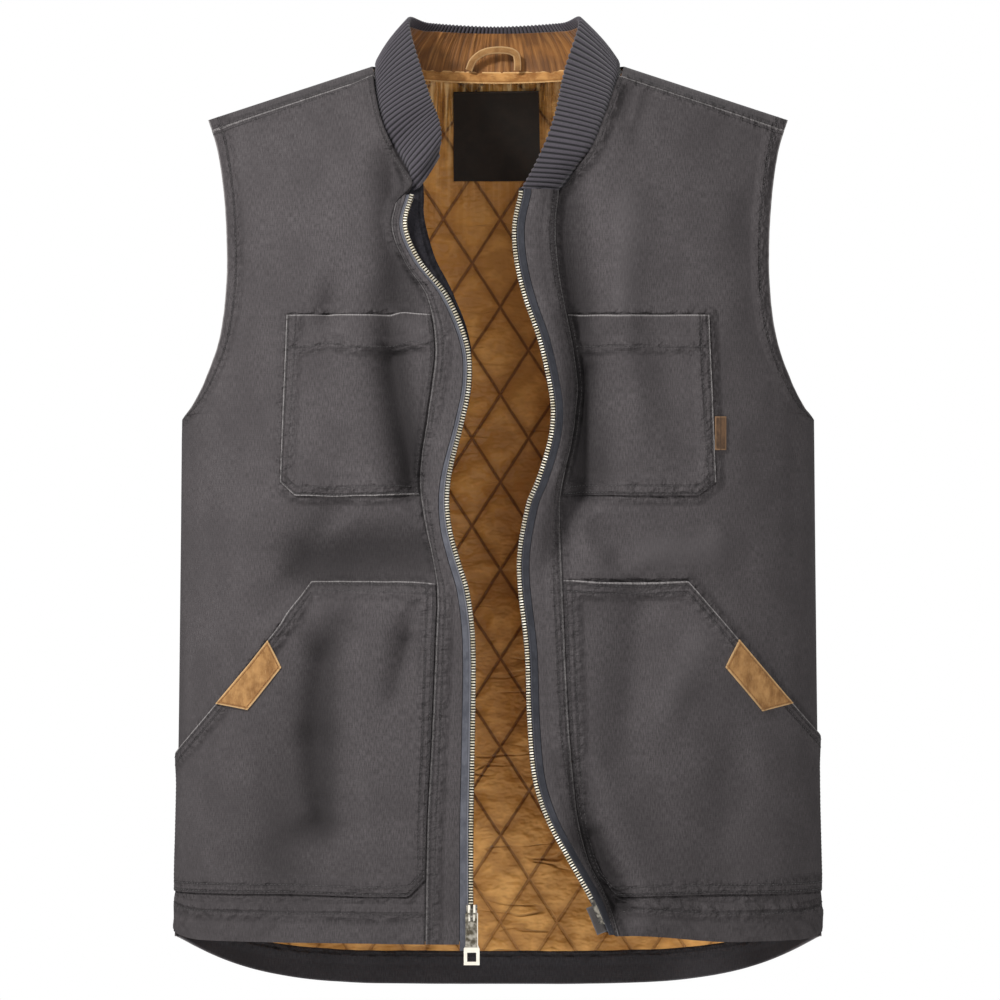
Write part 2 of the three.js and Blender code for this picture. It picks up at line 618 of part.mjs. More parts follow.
function zipTape(side) {
  const levels = [HEM_Z - ZIP_STRIP.tail, ...edgeLevels[side]];
  const places = edgePlaces(side, levels, [tapeNear(side), tapeFar(side)]);
  return cloth({ places, outer: 0, inner: -TAPE });
}

function zipBar(side, levels) {
  const near = (z) => teethX[side](z) - ZIP_STRIP.teethHalf;
  const far = (z) => teethX[side](z) + ZIP_STRIP.teethHalf;
  const places = edgePlaces(side, levels, [near, far]);
  return cloth({ places, outer: ZIP_STRIP.front, inner: ZIP_STRIP.back });
}

const zipTeeth = (side, end) =>
  zipBar(side, [end, ...edgeLevels[side].filter((z) => z > end + LEAST_ROW)]);

// Canvas facing behind the zip and placket, on to behind the panel's edge. The top right rolls into view.
function frontFacing(side) {
  const reach = (z) => (side === RIGHT ? facingReach(z) : 0);
  const levels = edgeLevels[side].slice(1, -1);
  const near = (z) => teethX[side](z) - ZIP_STRIP.teethHalf - reach(z);
  const [placketNear, placketMiddle] = placketColumns(side);
  const strip = edgePlaces(side, levels, [near, placketNear, placketMiddle]);
  const places = strip.map((row, i) => [...row, ...fronts[side][i + 1].slice(0, 2)]);
  const outer = (i, j) => LINING_OUTER - (j === 0 ? FACING_ROLL_DEPTH * reach(levels[i]) : 0);
  const inner = (i, j) => outer(i, j) - CANVAS;
  return cloth({ places, outer, inner, crossesBack: onStitchLines });
}

// Collar

// The neck seam, from the right front end up and round the back to the left front end
function neckSeam() {
  const frontHalf = (side) => NECK_SEAM_LEVELS.map((z) => frontPoint(side, necklineX[side](z), z));
  const reach = NECK_POINT_X - NECK_SEAM_BACK_INSET;
  const backX = steps(-reach, reach, NECK_SEAM_BACK_STATIONS);
  const backHalf = backX.map((x) => backPoint(x, backNeckZ(x)));
  const route = [...frontHalf(RIGHT), ...backHalf, ...frontHalf(LEFT).reverse()];
  return new THREE.CatmullRomCurve3(route, false, "centripetal");
}

const seamCurve = neckSeam();
const COLLAR_ALONG = steps(0, 1, 2 * COLLAR_RIBS);
const collarTopX = profile(COLLAR_TOP, "along", "x");
const collarTopY = profile(COLLAR_TOP, "along", "y");
const collarTopZ = profile(COLLAR_TOP, "along", "z");

// A point of the collar's outer face: along the seam from 0 to 1, and up from the seam to the top edge at 1.
function collarPoint(along, up) {
  const u = clamp(along, 0, 1);
  const seam = seamCurve.getPointAt(u);
  const point = seam.lerp(new THREE.Vector3(collarTopX(u), collarTopY(u), collarTopZ(u)), up);
  const out = new THREE.Vector3(point.x, point.y, 0).normalize();
  return point.addScaledVector(out, COLLAR_BULGE * (1 - Math.abs(2 * up - 1)));
}

// The way out of the neck through the collar
function collarOutward(along, up) {
  const step = 4e-3;
  const u = clamp(along, step, 1 - step);
  const alongSeam = collarPoint(u + step, up).sub(collarPoint(u - step, up));
  const upwards = collarPoint(u, 1).sub(collarPoint(u, 0));
  return upwards.cross(alongSeam).normalize();
}

function collarBand({ along, up, outer, inner }) {
  const skin = (offset) => (i, j) =>
    collarPoint(along[j], up[i]).addScaledVector(collarOutward(along[j], up[i]), offset(j));
  return wall({ rows: up.length, columns: along.length, outer: skin(outer), inner: skin(inner) });
}

function collarRib() {
  return collarBand({
    along: COLLAR_ALONG,
    up: [COLLAR_START, 0.5, 1],
    outer: (j) => (j % 2 ? 0 : COLLAR_RIB_DEPTH),
    inner: () => COLLAR_RIB_DEPTH - COLLAR_THICK,
  });
}

const FACING_OUTER = COLLAR_RIB_DEPTH - COLLAR_THICK - COLLAR_FACING.gap;

function collarFacing() {
  const { from, to, low, high } = COLLAR_FACING;
  return collarBand({
    along: COLLAR_ALONG.filter((along) => along >= from && along <= to),
    up: [low, 0.5, high],
    outer: () => FACING_OUTER,
    inner: () => FACING_OUTER - CANVAS,
  });
}

// Tape over the lining's edge along the back of the neck
function neckTape() {
  const { reach, drop, height, thick } = NECK_TAPE;
  const at = (s, t) => {
    const x = lerp(-reach, reach, s);
    return backPoint(x, backNeckZ(x) - drop - height * (1 - t));
  };
  return cloth({ places: grid(at, steps(0, 1, 14), [0, 1]), outer: ON_LINING, inner: ON_LINING - thick });
}

function neckLabel() {
  const { x, top, width, height } = NECK_LABEL;
  const at = (s, t) => backPoint(x + width * (s - 0.5), top - height * (1 - t));
  const places = grid(at, steps(0, 1, 4), steps(0, 1, 4));
  return cloth({ places, outer: ON_LINING, inner: ON_LINING - LABEL });
}

// Hanger loop: a flat arch of strap that stands off the collar facing, with both feet at the neck seam
function hangerLoop() {
  const { width, height, strap, corner, cornerCells, thick, x } = HANGER_LOOP;
  const arch = (half, tall, radius) => {
    const path = new THREE.Path();
    path.moveTo(-half, 0);
    path.lineTo(-half, tall - radius);
    path.absarc(-half + radius, tall - radius, radius, Math.PI, Math.PI / 2, true);
    path.lineTo(half - radius, tall);
    path.absarc(half - radius, tall - radius, radius, Math.PI / 2, 0, true);
    path.lineTo(half, 0);
    return path.getPoints(cornerCells);
  };
  const outside = arch(width / 2, height, corner);
  const inside = arch(width / 2 - strap, height - strap, corner - strap).reverse();
  const geometry = extrude(new THREE.Shape([...outside, ...inside]), thick);
  const foot = collarPoint(HANGER_LOOP_ALONG, COLLAR_FACING.low);
  const inFace = foot.y + FACING_OUTER - CANVAS - GAP;
  const loop = mesh("hanger_loop", geometry, patchTan);
  loop.rotation.x = Math.PI / 2 + HANGER_LOOP_LEAN;
  loop.position.set(x, inFace, foot.z);
  return loop;
}

// Zip slider, pull, box and pin

function toSolid(geometry) {
  const bare = geometry.clone();
  bare.deleteAttribute("normal");
  bare.deleteAttribute("uv");
  const merged = mergeVertices(bare);
  const triVerts = new Uint32Array(merged.index.array);
  return new wasm.Manifold(
    new wasm.Mesh({ numProp: 3, vertProperties: merged.attributes.position.array, triVerts }),
  );
}

function fromSolid(solid) {
  const { vertProperties, triVerts } = solid.getMesh();
  const geometry = new THREE.BufferGeometry();
  geometry.setAttribute("position", new THREE.BufferAttribute(new Float32Array(vertProperties), 3));
  geometry.setIndex(new THREE.BufferAttribute(triVerts, 1));
  return geometry;
}

const sliderSeat = frontPoint(RIGHT, -ZIP_SLIDER.x, ZIP_SLIDER.z);
const SLIDER_BACK_Y = sliderSeat.y - ZIP_STRIP.front - GAP;
const SLIDER_FRONT_Y = SLIDER_BACK_Y - ZIP_SLIDER.depth;
const HINGE = new THREE.Vector3(ZIP_SLIDER.x, SLIDER_FRONT_Y - ZIP_BAIL.gap / 2, ZIP_SLIDER.z);

// Turns a profile drawn in depth and height into a solid across the vest's width.
const acrossWidth = new THREE.Matrix4().makeBasis(
  new THREE.Vector3(0, 1, 0),
  new THREE.Vector3(0, 0, 1),
  new THREE.Vector3(1, 0, 0),
);

// A plate drawn as seen from the front, from its back face forward.
const plate = (shape, thick) => extrude(shape, thick).rotateX(Math.PI / 2);

// The body tapers to its foot. The bail is a small square ring on its front that the pull hangs from.
function zipSlider() {
  const { x, z, width, foot, height, depth } = ZIP_SLIDER;
  const { gap, wire, below, above, sunk } = ZIP_BAIL;
  const shield = outline([
    [-foot / 2, -height / 2],
    [foot / 2, -height / 2],
    [width / 2, height / 6],
    [width / 2, height / 2],
    [-width / 2, height / 2],
    [-width / 2, height / 6],
  ]);
  const body = plate(shield, depth).translate(x, SLIDER_BACK_Y, z);
  const ring = rectangle(-gap - wire, -below - wire, sunk, above + wire);
  ring.holes.push(rectangle(-gap, -below, 0, above));
  const bail = extrude(ring, ZIP_BAIL.width).applyMatrix4(acrossWidth);
  bail.translate(x - ZIP_BAIL.width / 2, SLIDER_FRONT_Y, z);
  return fromSolid(toSolid(body).add(toSolid(bail)));
}

// A plate that ends in a square ring. The bar above its slot lies in the bail.
function zipPull() {
  const { width, stem, length, thick, bar, rail } = ZIP_PULL;
  const { top, bottom } = ZIP_PULL_SHOULDER;
  const slot = ZIP_PULL_SLOT;
  const tab = outline([
    [-width / 2, -length],
    [width / 2, -length],
    [width / 2, bottom],
    [stem / 2, top],
    [stem / 2, bar],
    [-stem / 2, bar],
    [-stem / 2, top],
    [-width / 2, bottom],
  ]);
  tab.holes.push(rectangle(-slot.width / 2, slot.end, slot.width / 2, -bar));
  tab.holes.push(rectangle(rail - width / 2, rail - length, width / 2 - rail, ZIP_PULL_WINDOW_TOP));
  return plate(tab, thick).translate(HINGE.x, HINGE.y + thick / 2, HINGE.z);
}

function zipBox() {
  const { width, height, depth } = ZIP_BOX;
  const top = ZIP_SLIDER.z - ZIP_SLIDER.height / 2 - GAP;
  const block = rectangle(-width / 2, -height, width / 2, 0);
  return plate(block, depth).translate(ZIP_SLIDER.x, SLIDER_BACK_Y, top);
}

for (const side of [RIGHT, LEFT]) {
  const teethEnd = side === RIGHT ? ZIP_SLIDER.z : ZIP_PIN_TOP_Z;
  add(sided("front_panel", side), frontPanel(side), canvasGrey);
  add(sided("front_lining", side), frontLining(side), liningBrown);
  add(sided("front_facing", side), frontFacing(side), canvasGrey);
  add(sided("zip_placket", side), placket(side), canvasGrey);
  add(sided("zip_tape", side), zipTape(side), tapeGrey);
  add(sided("zip_teeth", side), zipTeeth(side, teethEnd), brass);
  add(sided("chest_pocket", side), chestPocket(side), canvasGrey);
  add(sided("hand_pocket", side), handPocket(side), canvasGrey);
  add(sided("pocket_patch", side), pocketPatch(side), patchTan);
}
add("back_panel", backPanel(), canvasGrey);
add("back_lining", backLining(), liningBrown);
add("tail_facing", tailFacing(), canvasGrey);
add("collar_rib", collarRib(), ribGrey);
add("collar_facing", collarFacing(), facingBrown);
add("neck_tape", neckTape(), patchTan);
add("neck_label", neckLabel(), labelDark);
add("pocket_tag", pocketTag(), patchTan);
add("zip_pin", zipBar(LEFT, [ZIP_PIN_END_Z, ZIP_PIN_TOP_Z - GAP]), brass);
add("zip_slider", zipSlider(), brass);
add("zip_pull", zipPull(), brass);
add("zip_box", zipBox(), brass);
vest.add(hangerLoop());

export default vest;
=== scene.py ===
import math

import bpy
import numpy as np
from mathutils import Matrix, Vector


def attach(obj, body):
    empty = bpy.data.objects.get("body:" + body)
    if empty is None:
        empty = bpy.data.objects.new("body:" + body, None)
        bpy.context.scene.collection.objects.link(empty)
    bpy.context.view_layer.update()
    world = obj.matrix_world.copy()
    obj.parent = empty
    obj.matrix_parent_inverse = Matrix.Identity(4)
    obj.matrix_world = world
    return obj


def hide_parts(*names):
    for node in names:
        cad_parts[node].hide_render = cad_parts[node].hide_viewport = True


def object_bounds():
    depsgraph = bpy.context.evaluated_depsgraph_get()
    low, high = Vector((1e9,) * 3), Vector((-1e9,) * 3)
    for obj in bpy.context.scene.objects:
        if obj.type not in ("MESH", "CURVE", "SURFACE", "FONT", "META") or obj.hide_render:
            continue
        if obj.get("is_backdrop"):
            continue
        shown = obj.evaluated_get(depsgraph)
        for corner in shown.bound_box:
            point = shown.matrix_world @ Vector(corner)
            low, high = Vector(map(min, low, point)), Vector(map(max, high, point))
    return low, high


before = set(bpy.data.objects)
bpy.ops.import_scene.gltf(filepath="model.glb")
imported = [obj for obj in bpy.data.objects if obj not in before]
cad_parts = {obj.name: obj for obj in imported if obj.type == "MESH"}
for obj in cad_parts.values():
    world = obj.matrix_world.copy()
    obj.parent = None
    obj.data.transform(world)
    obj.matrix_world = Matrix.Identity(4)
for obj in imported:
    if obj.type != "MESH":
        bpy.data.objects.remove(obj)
CAD_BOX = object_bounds()

# A canvas work vest in worn form. Sizes are in millimetres, in the solids' frame: +Z up, the front faces -Y,
# +X is the wearer's left. Meshes are made in metres.
MM = 0.001
FRONT, BACK = -1, 1
RIGHT, LEFT = -1, 1
SIDES = {RIGHT: "right", LEFT: "left"}

# The photograph's camera
IMAGE_WIDTH = 800.0
CAMERA_DISTANCE = 6000.0
CAMERA_PLACE = (1.6, -6110.0, -353.6)
SENSOR_WIDTH = 36.0

# Studio, in metres and watts: the floor, the surroundings' strength as light and as seen, and each lamp's
# place, size and power
FLOOR = {"half": 6.0, "z": -1.45}
SURROUNDINGS = {"light": 0.23, "seen": 1.0}
LIT_POINT = (0.0, 0.0, -0.35)
LAMPS = {
    "key": ((-1.6, -1.95, 1.6), (0.5, 0.5), 75),
    "front": ((0.7, -5.0, 0.1), (1.6, 1.6), 48),
    "side": ((-3.4, -2.0, -0.3), (1.2, 1.2), 19),
    "far_side": ((3.4, -2.0, -0.5), (1.2, 1.2), 9),
    "rear": ((0.6, 3.0, 1.6), (2.0, 1.6), 60),
}

# Driving sizes of the worn form
NECK_POINT_X = 101.0
SHOULDER_TIP_X = 234.0
SHOULDER_SLOPE = 0.327
SHOULDER_ROUND = 95.0
SHOULDER_SEAM_DROP = 11.0
UNDERARM_Z = -288.5
HEM_Z = -709.0
HEM_ROW = 24.0
HEM_TURN = 19.0
HEM_RIPPLE = {"wide": 8.0, "tall": 13.0, "top": 37.0, "height": 3.4, "slant": 0.5}
HEM_RIPPLE_FADES = {"placket": 10.0, "side": 20.0, "hem": 5.0, "top": 9.0}
PUCKER_SIZE = 6.5
HEM_RISE = {RIGHT: 0.0, LEFT: 7.0, "side": 5.0, "reach": 0.35}
TAIL_DROP = 44.5
TAIL_POWER = 4.4
TAIL_LINING_DROP = 36.0
BACK_NECK_DROP = 4.6
ZIP_TOP_Z = -108.0
EDGE_TOP_Z = {RIGHT: ZIP_TOP_Z - 1, LEFT: ZIP_TOP_Z + 3.5}
EDGE_FADE = 70.0
CROSS_POWER = 2.2
QUARTER_GIRTH = 215.0
SIDE_SEAM_ANGLE = math.pi / 2 - 0.0005
SEAM_ROLL = math.acos(1 - SHOULDER_SEAM_DROP / SHOULDER_ROUND) / (math.pi / 2)
SHOULDER_SEAM_GAP = 0.002

# Cloth thicknesses and the gaps between sewn pieces
CANVAS = 1.6
GAP = 0.4
LINING_OUTER = -(CANVAS + GAP)
LINING_AT_STITCH = 2.0
LINING_AT_PUFF = 5.4
ON_LINING = LINING_OUTER - LINING_AT_PUFF - 0.9
FACING_UNDERLAP = 15.0

# Spacing of the cloth's cells, the lengths that are shared out into them, and the first few next to an edge
CELL = 3.2
FINE_CELL = 2.6
HAND_POCKET_CELL = 2.8
BACK_CELL = 4.3
BACK_LINING_CELL = 3.7
TAIL_FACING_CELL = 3.9
FRONT_LENGTHS = {"across": 340, "up": 700}
BACK_LENGTHS = {"side": 230, "middle": 230, "tail": 30, "body": 620, "over": 150, "front": 32}
EDGE_CELLS = (0.7, 1.6, 3.2)

# Steps to either side of a point, from which the way out of the cloth is found
ANGLE_STEP = 2e-3
HEIGHT_STEP = 0.5
BACK_STEP = 1e-3

# Distance of points that have no line near them
FAR = 1e3

# Pieces of a line that are measured at a time
LINE_BATCH = 24

# Quilting: the diamonds' width and height, and one crossing of the stitch lines
QUILT_WIDTH = 47.0
QUILT_HEIGHT = 72.7
QUILT_U = 2.0
QUILT_V = -339.0

# Stitches: their sizes, the rows' distances from the edges, and the bare length at a row's ends
STITCH_PITCH = 3.3
PATCH_PITCH = 2.6
STITCH = {"length": 2.5, "width": 0.62, "height": 0.34}
EDGE_ROW = 1.8
SECOND_ROW = 7.6
ARMHOLE_ROW = 8.5
SHOULDER_ROW = 4.5
NECK_ROW = 3.0
TAIL_ROW = 12.0
FACING_ROW = 4.0
TAIL_FACING_ROW = 3.0
PLACKET_ROWS = (2.2, 6.5)
PATCH_ROW = 2.2
LABEL_ROW = 2.0
SIDE_ROWS = (7.0, 13.0)
SIDE_ROW_LIFT = -0.26
ROW_ENDS = (2, 2)
INNER_ROW_ENDS = (7, 7)
EDGES = ("left", "right", "bottom", "top")


def table(columns, *rows):
    return {name: np.array(values, float) for name, values in zip(columns.split(), zip(*rows))}


# Horizontal sections of the worn form
BODY = table(
    "z half_width front back",
    (-780, 264.0, 110, 98),
    (-700, 263.5, 110, 96),
    (-600, 261.0, 108, 89),
    (-450, 259.0, 112, 87),
    (-288.5, 257.5, 118, 99),
    (-200, 257.5, 112, 104),
    (-100, 257.5, 97, 99),
    (0, 257.5, 78, 90),
    (60, 257.5, 66, 80),
)

# The armhole edge, as a distance from the centre line
ARMHOLE = table(
    "z x",
    (-288.5, 257.5),
    (-276, 247),
    (-256, 236.5),
    (-224, 225),
    (-184, 219.5),
    (-143, 219),
    (-103, 222),
    (-70, 227.5),
    (-43.5, 236),
)

# The front neckline, as a distance from the centre line
NECKLINES = {
    RIGHT: table("z x", (-116, 82), (-106, 71.5), (-98, 68.5), (-80, 78.5), (-52, 92), (-22, 99), (0, 101)),
    LEFT: table("z x", (-108, 48.8), (-103, 51), (-72, 74), (-43, 86), (-17, 95), (0, 101)),
}

# The open front edges: the placket's seam and the zip's teeth as distances from the centre line,
# and how far the edge stands forward of the worn form
FRONT_EDGES = {
    RIGHT: table(
        "z seam teeth lift",
        (-709, 58.4, 21.6, 5),
        (-613, 56.8, 21.6, 4),
        (-549, 53.6, 20.4, 4),
        (-467, 50.0, 20.0, 6),
        (-426, 48.8, 24.8, 9),
        (-402, 52.0, 32.0, 8),
        (-378, 57.6, 38.4, 5),
        (-354, 61.6, 40.8, 3),
        (-330, 62.4, 38.4, 4),
        (-291, 56.8, 28.8, 8),
        (-261, 52.8, 23.2, 8),
        (-230, 50.4, 24.8, 6),
        (-191, 57.0, 40.8, 10),
        (-162, 75.2, 63.1, 14),
        (-134, 85.6, 74.3, 14),
        (-108, 80.0, 68.7, 8),
    ),
    LEFT: table(
        "z seam teeth lift",
        (-709, 99.5, 90.0, 14),
        (-673, 87.2, 75.1, 20),
        (-641, 72.0, 57.2, 18),
        (-609, 64.0, 40.0, 14),
        (-577, 60.4, 29.6, 9),
        (-530, 56.8, 25.2, 6),
        (-474, 54.0, 23.2, 5),
        (-406, 51.2, 16.8, 4),
        (-358, 49.6, 24.0, 8),
        (-338, 52.0, 32.0, 10),
        (-306, 59.2, 41.6, 10),
        (-283, 62.4, 44.0, 8),
        (-262, 64.0, 41.6, 6),
        (-226, 59.2, 33.6, 4),
        (-191, 52.4, 21.6, 4),
        (-162, 48.0, 14.8, 5),
        (-134, 46.4, 13.2, 6),
        (-108, 48.8, 18.4, 6),
    ),
}

# Soft folds along lines in x and z, with their heights at both ends. Sunk folds have negative heights. The
# heights also set the canvas's painted shade in sunk folds and painted highlights on raised ones.
FOLDS = table(
    "face x0 z0 x1 z1 width start end",
    (FRONT, -80, -80, -76, -196, 20, -16, -22),
    (FRONT, -86, -186, -84, -240, 16, -14, -24),
    (FRONT, -122, -160, -136, -206, 12, -2, -12),
    (FRONT, -84, -240, -66, -340, 18, -28, -30),
    (FRONT, -58, -340, -50, -394, 17, -20, -14),
    (FRONT, -150, -404, -66, -398, 29, -26, -22),
    (FRONT, -184, -440, -160, -412, 18, -6, -20),
    (FRONT, -160, -412, -130, -364, 17, -21, -12),
    (FRONT, -66, -438, -72, -466, 13, -7, -15),
    (FRONT, -72, -466, -80, -508, 13, -16, -10),
    (FRONT, -118, -446, -137, -480, 20, -8, -24),
    (FRONT, -137, -480, -144, -545, 25, -24, -28),
    (FRONT, -144, -545, -142, -592, 26, -28, -25),
    (FRONT, -140, -592, -140, -612, 18, -25, -25),
    (FRONT, -143, -614, -214, -652, 24, -25, -10),
    (FRONT, -160, -500, -174, -650, 44, -12, -19),
    (FRONT, -117, -484, -115, -580, 16, 8, 4),
    (FRONT, -114, -592, -106, -656, 17, 7, 3),
    (FRONT, -192, -100, -196, -210, 14, -5, -5),
    (FRONT, 57, -100, 67, -215, 18, -18, -24),
    (FRONT, 64, -205, 69, -250, 15, -24, -30),
    (FRONT, 69, -250, 67, -345, 15, -32, -28),
    (FRONT, 70, -230, 76, -330, 24, -20, -20),
    (FRONT, 61, -352, 47, -396, 17, -20, -14),
    (FRONT, 104, -120, 98, -200, 18, 6, 6),
    (FRONT, 114, -6, 104, -44, 6, -6, -4),
    (FRONT, 126, -10, 112, -60, 7, -6, -3),
    (FRONT, -116, -10, -106, -36, 6, -5, -3),
    (FRONT, 203, -110, 206, -205, 14, -5, -5),
    (FRONT, 90, -400, 172, -392, 17, 6, 7),
    (FRONT, 72, -372, 96, -394, 13, -10, -12),
    (FRONT, 128, -230, 150, -320, 22, -7, -5),
    (FRONT, 112, -440, 100, -560, 20, -11, -5),
    (FRONT, 160, -470, 120, -540, 16, 6, 4),
    (FRONT, 61, -566, 72, -625, 15, -10, -26),
    (FRONT, 72, -625, 92, -676, 17, -30, -34),
    (FRONT, 190, -560, 176, -660, 24, -8, -9),
    (BACK, -108, -330, -140, -790, 46, 2, 5),
    (BACK, 112, -350, 144, -790, 46, 2, 5),
    (BACK, 6, -420, -4, -790, 56, -3, -7),
    (BACK, -170, -300, -120, -420, 18, -5, -3),
    (BACK, 172, -296, 118, -430, 18, -5, -3),
    (BACK, -60, -90, 62, -96, 26, 3, 3),
)
FOLD_BLEND = 8
FOLD_CLEARANCE = 6.0
# Share of the painted fold shade and fold highlight on each placket
PLACKET_PAINTED_FOLD_SHADE = {RIGHT: 0.25, LEFT: 0.7}

# Crumples of the cloth: the width and height of the noise's cells and how far they stand out
CRUMPLES = table("seed wide tall height", (3, 60, 90, 2.0), (4, 27, 40, 0.9), (5, 13, 18, 0.3))

# The collar's top edge at stations along its seam, from the right front end round to the left front end
COLLAR_TOP = table(
    "along x y z",
    (0.0, -48, -98, -74),
    (0.02, -45, -95, -63),
    (0.05, -47, -88, -48),
    (0.11, -54, -76, -27),
    (0.16, -61.5, -56, -4),
    (0.25, -72, -8, 38),
    (0.355, -55, 36, 38),
    (0.495, -2, 57, 36),
    (0.635, 51, 36, 38),
    (0.74, 65.5, -8, 38),
    (0.815, 53, -52, -5),
    (0.895, 44, -80, -46),
    (0.955, 31, -95, -81),
    (1.0, 19, -103, -104),
)
COLLAR_RIBS = 132
STEPS_PER_RIB = 8
COLLAR_ROWS = 18
COLLAR_SAMPLES = 1000
COLLAR_START = -0.05
COLLAR_SUNK = 2.4
COLLAR_HIGH = 0.95
COLLAR_BULGE = 3.0
COLLAR_OUTER = 0.5
COLLAR_INNER = -2.3
RIB_DEPTH = 1.1
COLLAR_FACING = {"start": 0.2, "end": 0.78, "low": -0.06, "high": 0.84, "outer": -3.1}
COLLAR_CURL = {"along": 0.02, "depth": 7.0}
COLLAR_END_BULGE = {"along": 0.05, "reach": 7.0}
NECK_SEAM_LEVELS = {RIGHT: (-106, -90, -72, -54, -36, -20, -6), LEFT: (-105, -90, -72, -54, -36, -20, -6)}

# How far the right facing shows past the teeth where that edge rolls open
FACING_ROLL = table("z reach", (-240, 0), (-215, 2), (-188, 4), (-162, 11), (-134, 15), (-112, 8), (-92, 6))
FACING_TOP_Z = {"near": -90.0, "turn": -103.0}
FACING_ROLL_DEPTH = 0.9
FACING_HEM = 2.5

# Pocket outlines, as distances from the centre line and heights
CHEST_POCKET = {"top": -205, "middle": -280, "bottom": -350, "hem": 26, "cut_x": 159, "cut_z": -337}
CHEST_POCKET_OUTER = table("z x", (-350, 175), (-205, 169))
HAND_POCKET = {"bottom": -671.0, "cut": 14.0, "middle": -550.0}
POCKET_MOUTH = {
    RIGHT: {"corner_x": 149.5, "top": -421.0, "end": -562.0, "patch": (0.312, 0.682)},
    LEFT: {"corner_x": 152.5, "top": -418.0, "end": -547.0, "patch": (0.366, 0.768)},
}

# How the pockets are made up: their fullness, how far the mouth stands off, how flat the side seam presses
# them, which edges are rubbed pale, and their stitch rows by edge, distance and bare ends
POCKETS = {
    "chest": {
        "full": 1.2,
        "open": 0.5,
        "pressed": 0.0,
        "rubbed": {RIGHT: ("top", "right", "bottom"), LEFT: ("top", "right")},
        "rows": [
            ("right", EDGE_ROW, ROW_ENDS),
            ("right", SECOND_ROW, INNER_ROW_ENDS),
            ("bottom", EDGE_ROW, ROW_ENDS),
            ("bottom", SECOND_ROW, INNER_ROW_ENDS),
            ("left", EDGE_ROW, ROW_ENDS),
            ("top", CHEST_POCKET["hem"], ROW_ENDS),
        ],
    },
    "hand": {
        "full": 1.6,
        "open": 1.6,
        "pressed": 0.75,
        "rubbed": {RIGHT: ("top",), LEFT: ("top",)},
        "rows": [
            ("left", EDGE_ROW, ROW_ENDS),
            ("left", SECOND_ROW, INNER_ROW_ENDS),
            ("bottom", EDGE_ROW, ROW_ENDS),
            ("bottom", SECOND_ROW, INNER_ROW_ENDS),
            ("top", EDGE_ROW + 1.0, ROW_ENDS),
            ("top", SECOND_ROW + 1.5, ROW_ENDS),
            ("right", SIDE_ROWS[0], ROW_ENDS),
            ("right", SIDE_ROWS[1], ROW_ENDS),
        ],
    },
}
POCKET_PATCH = {"inset": 0.6, "depth": 22.0, "taper": 0.062, "gap": 0.9}
# Painted shadow next to the pocket outlines and the hem row: how much wider it is than a seam's painted shade
POCKET_SHADE = 0.6
POCKET_FADES = {"edge": 28, "mouth": 26, "mouth_side": 20, "pressed": 16}
POCKET_TAG = {"z": -300.0, "height": 27.0, "width": 9.0, "gap": 0.7}

# Gathers in the lining, label, tape and loop at the back of the neck
NECK_GATHERS = {"below": 26, "fade": 30, "past": 20, "depth": 2.2, "least": 1.2}
NECK_LABEL = {"x": -1.7, "top": -11.4, "width": 72.0, "height": 77.5, "thick": 0.9, "tilt": 0.012}
NECK_TAPE = {"start": 0.33, "end": 0.645, "top": 2.5, "height": 9.5, "inset": 4.2, "lean": 2.2, "thick": 1.6}
HANGER_LOOP = table(
    "x z", (-24, -1), (-20.5, 7), (-12.5, 13.4), (-2, 15.6), (9, 15), (14.6, 12), (16, 6), (16, -1)
)
HANGER_LOOP_Y = 46.0
HANGER_LOOP_STRAP = {"width": 6.0, "thick": 1.8}

# Zip
ZIP_STRIP = {"teeth": 1.8, "front": 1.2, "back": -1.6, "ends": {RIGHT: -714.0, LEFT: -701.0}}
TAPE_WIDTHS = {
    RIGHT: table("z wide", (-709, 9), (-430, 8), (-300, 5.5), (-108, 4.4)),
    LEFT: table("z wide", (-709, 8), (-108, 8)),
}
ZIP_FILM = {"top": -677.0, "bottom": -699.0, "inner": -7.0, "outer": 4.0, "front": -1.65, "back": -1.95}
TOOTH = {"pitch": 2.3, "along": 1.35, "across": 3.6}
SLIDER_Z = -684.0
PIN_TOP_Z = -672.0
HARDWARE_BEVEL = 0.45

# Flat cuts of the cloth pieces in metres: width, length and area
FLAT_CUTS = {
    "front": (0.27, 0.72, 0.165),
    "back": (0.62, 0.86, 0.43),
    "front_lining": (0.26, 0.69, 0.150),
    "back_lining": (0.62, 0.82, 0.41),
    "facing": (0.075, 0.61, 0.032),
    "tail_facing": (0.62, 0.035, 0.0165),
    "placket": (0.036, 0.61, 0.0145),
    "chest_pocket": (0.135, 0.15, 0.0195),
    "hand_pocket": (0.27, 0.27, 0.055),
    "patch": (0.068, 0.024, 0.0015),
    "collar_facing": (0.34, 0.045, 0.0135),
    "neck_tape": (0.16, 0.0125, 0.0019),
    "label": (0.072, 0.0775, 0.00558),
}


# Numbers and curves


def lerp(a, b, share):
    return a + (b - a) * share


def smoothstep(value):
    t = np.clip(value, 0, 1)
    return t * t * (3 - 2 * t)


def profile(rows, key, value):
    """A smooth curve through a table's rows: one column as a function of another that rises."""
    xs, ys = rows[key], rows[value]
    before = np.maximum(np.arange(len(xs)) - 1, 0)
    after = np.minimum(np.arange(len(xs)) + 1, len(xs) - 1)
    slopes = (ys[after] - ys[before]) / (xs[after] - xs[before])

    def at(where):
        held = np.clip(where, xs[0], xs[-1])
        i = np.clip(np.searchsorted(xs, held, side="left") - 1, 0, len(xs) - 2)
        span = xs[i + 1] - xs[i]
        t = (held - xs[i]) / span
        leave = t * (1 - t) ** 2 * span * slopes[i]
        arrive = t * t * (t - 1) * span * slopes[i + 1]
        return lerp(ys[i], ys[i + 1], t * t * (3 - 2 * t)) + leave + arrive

    return at


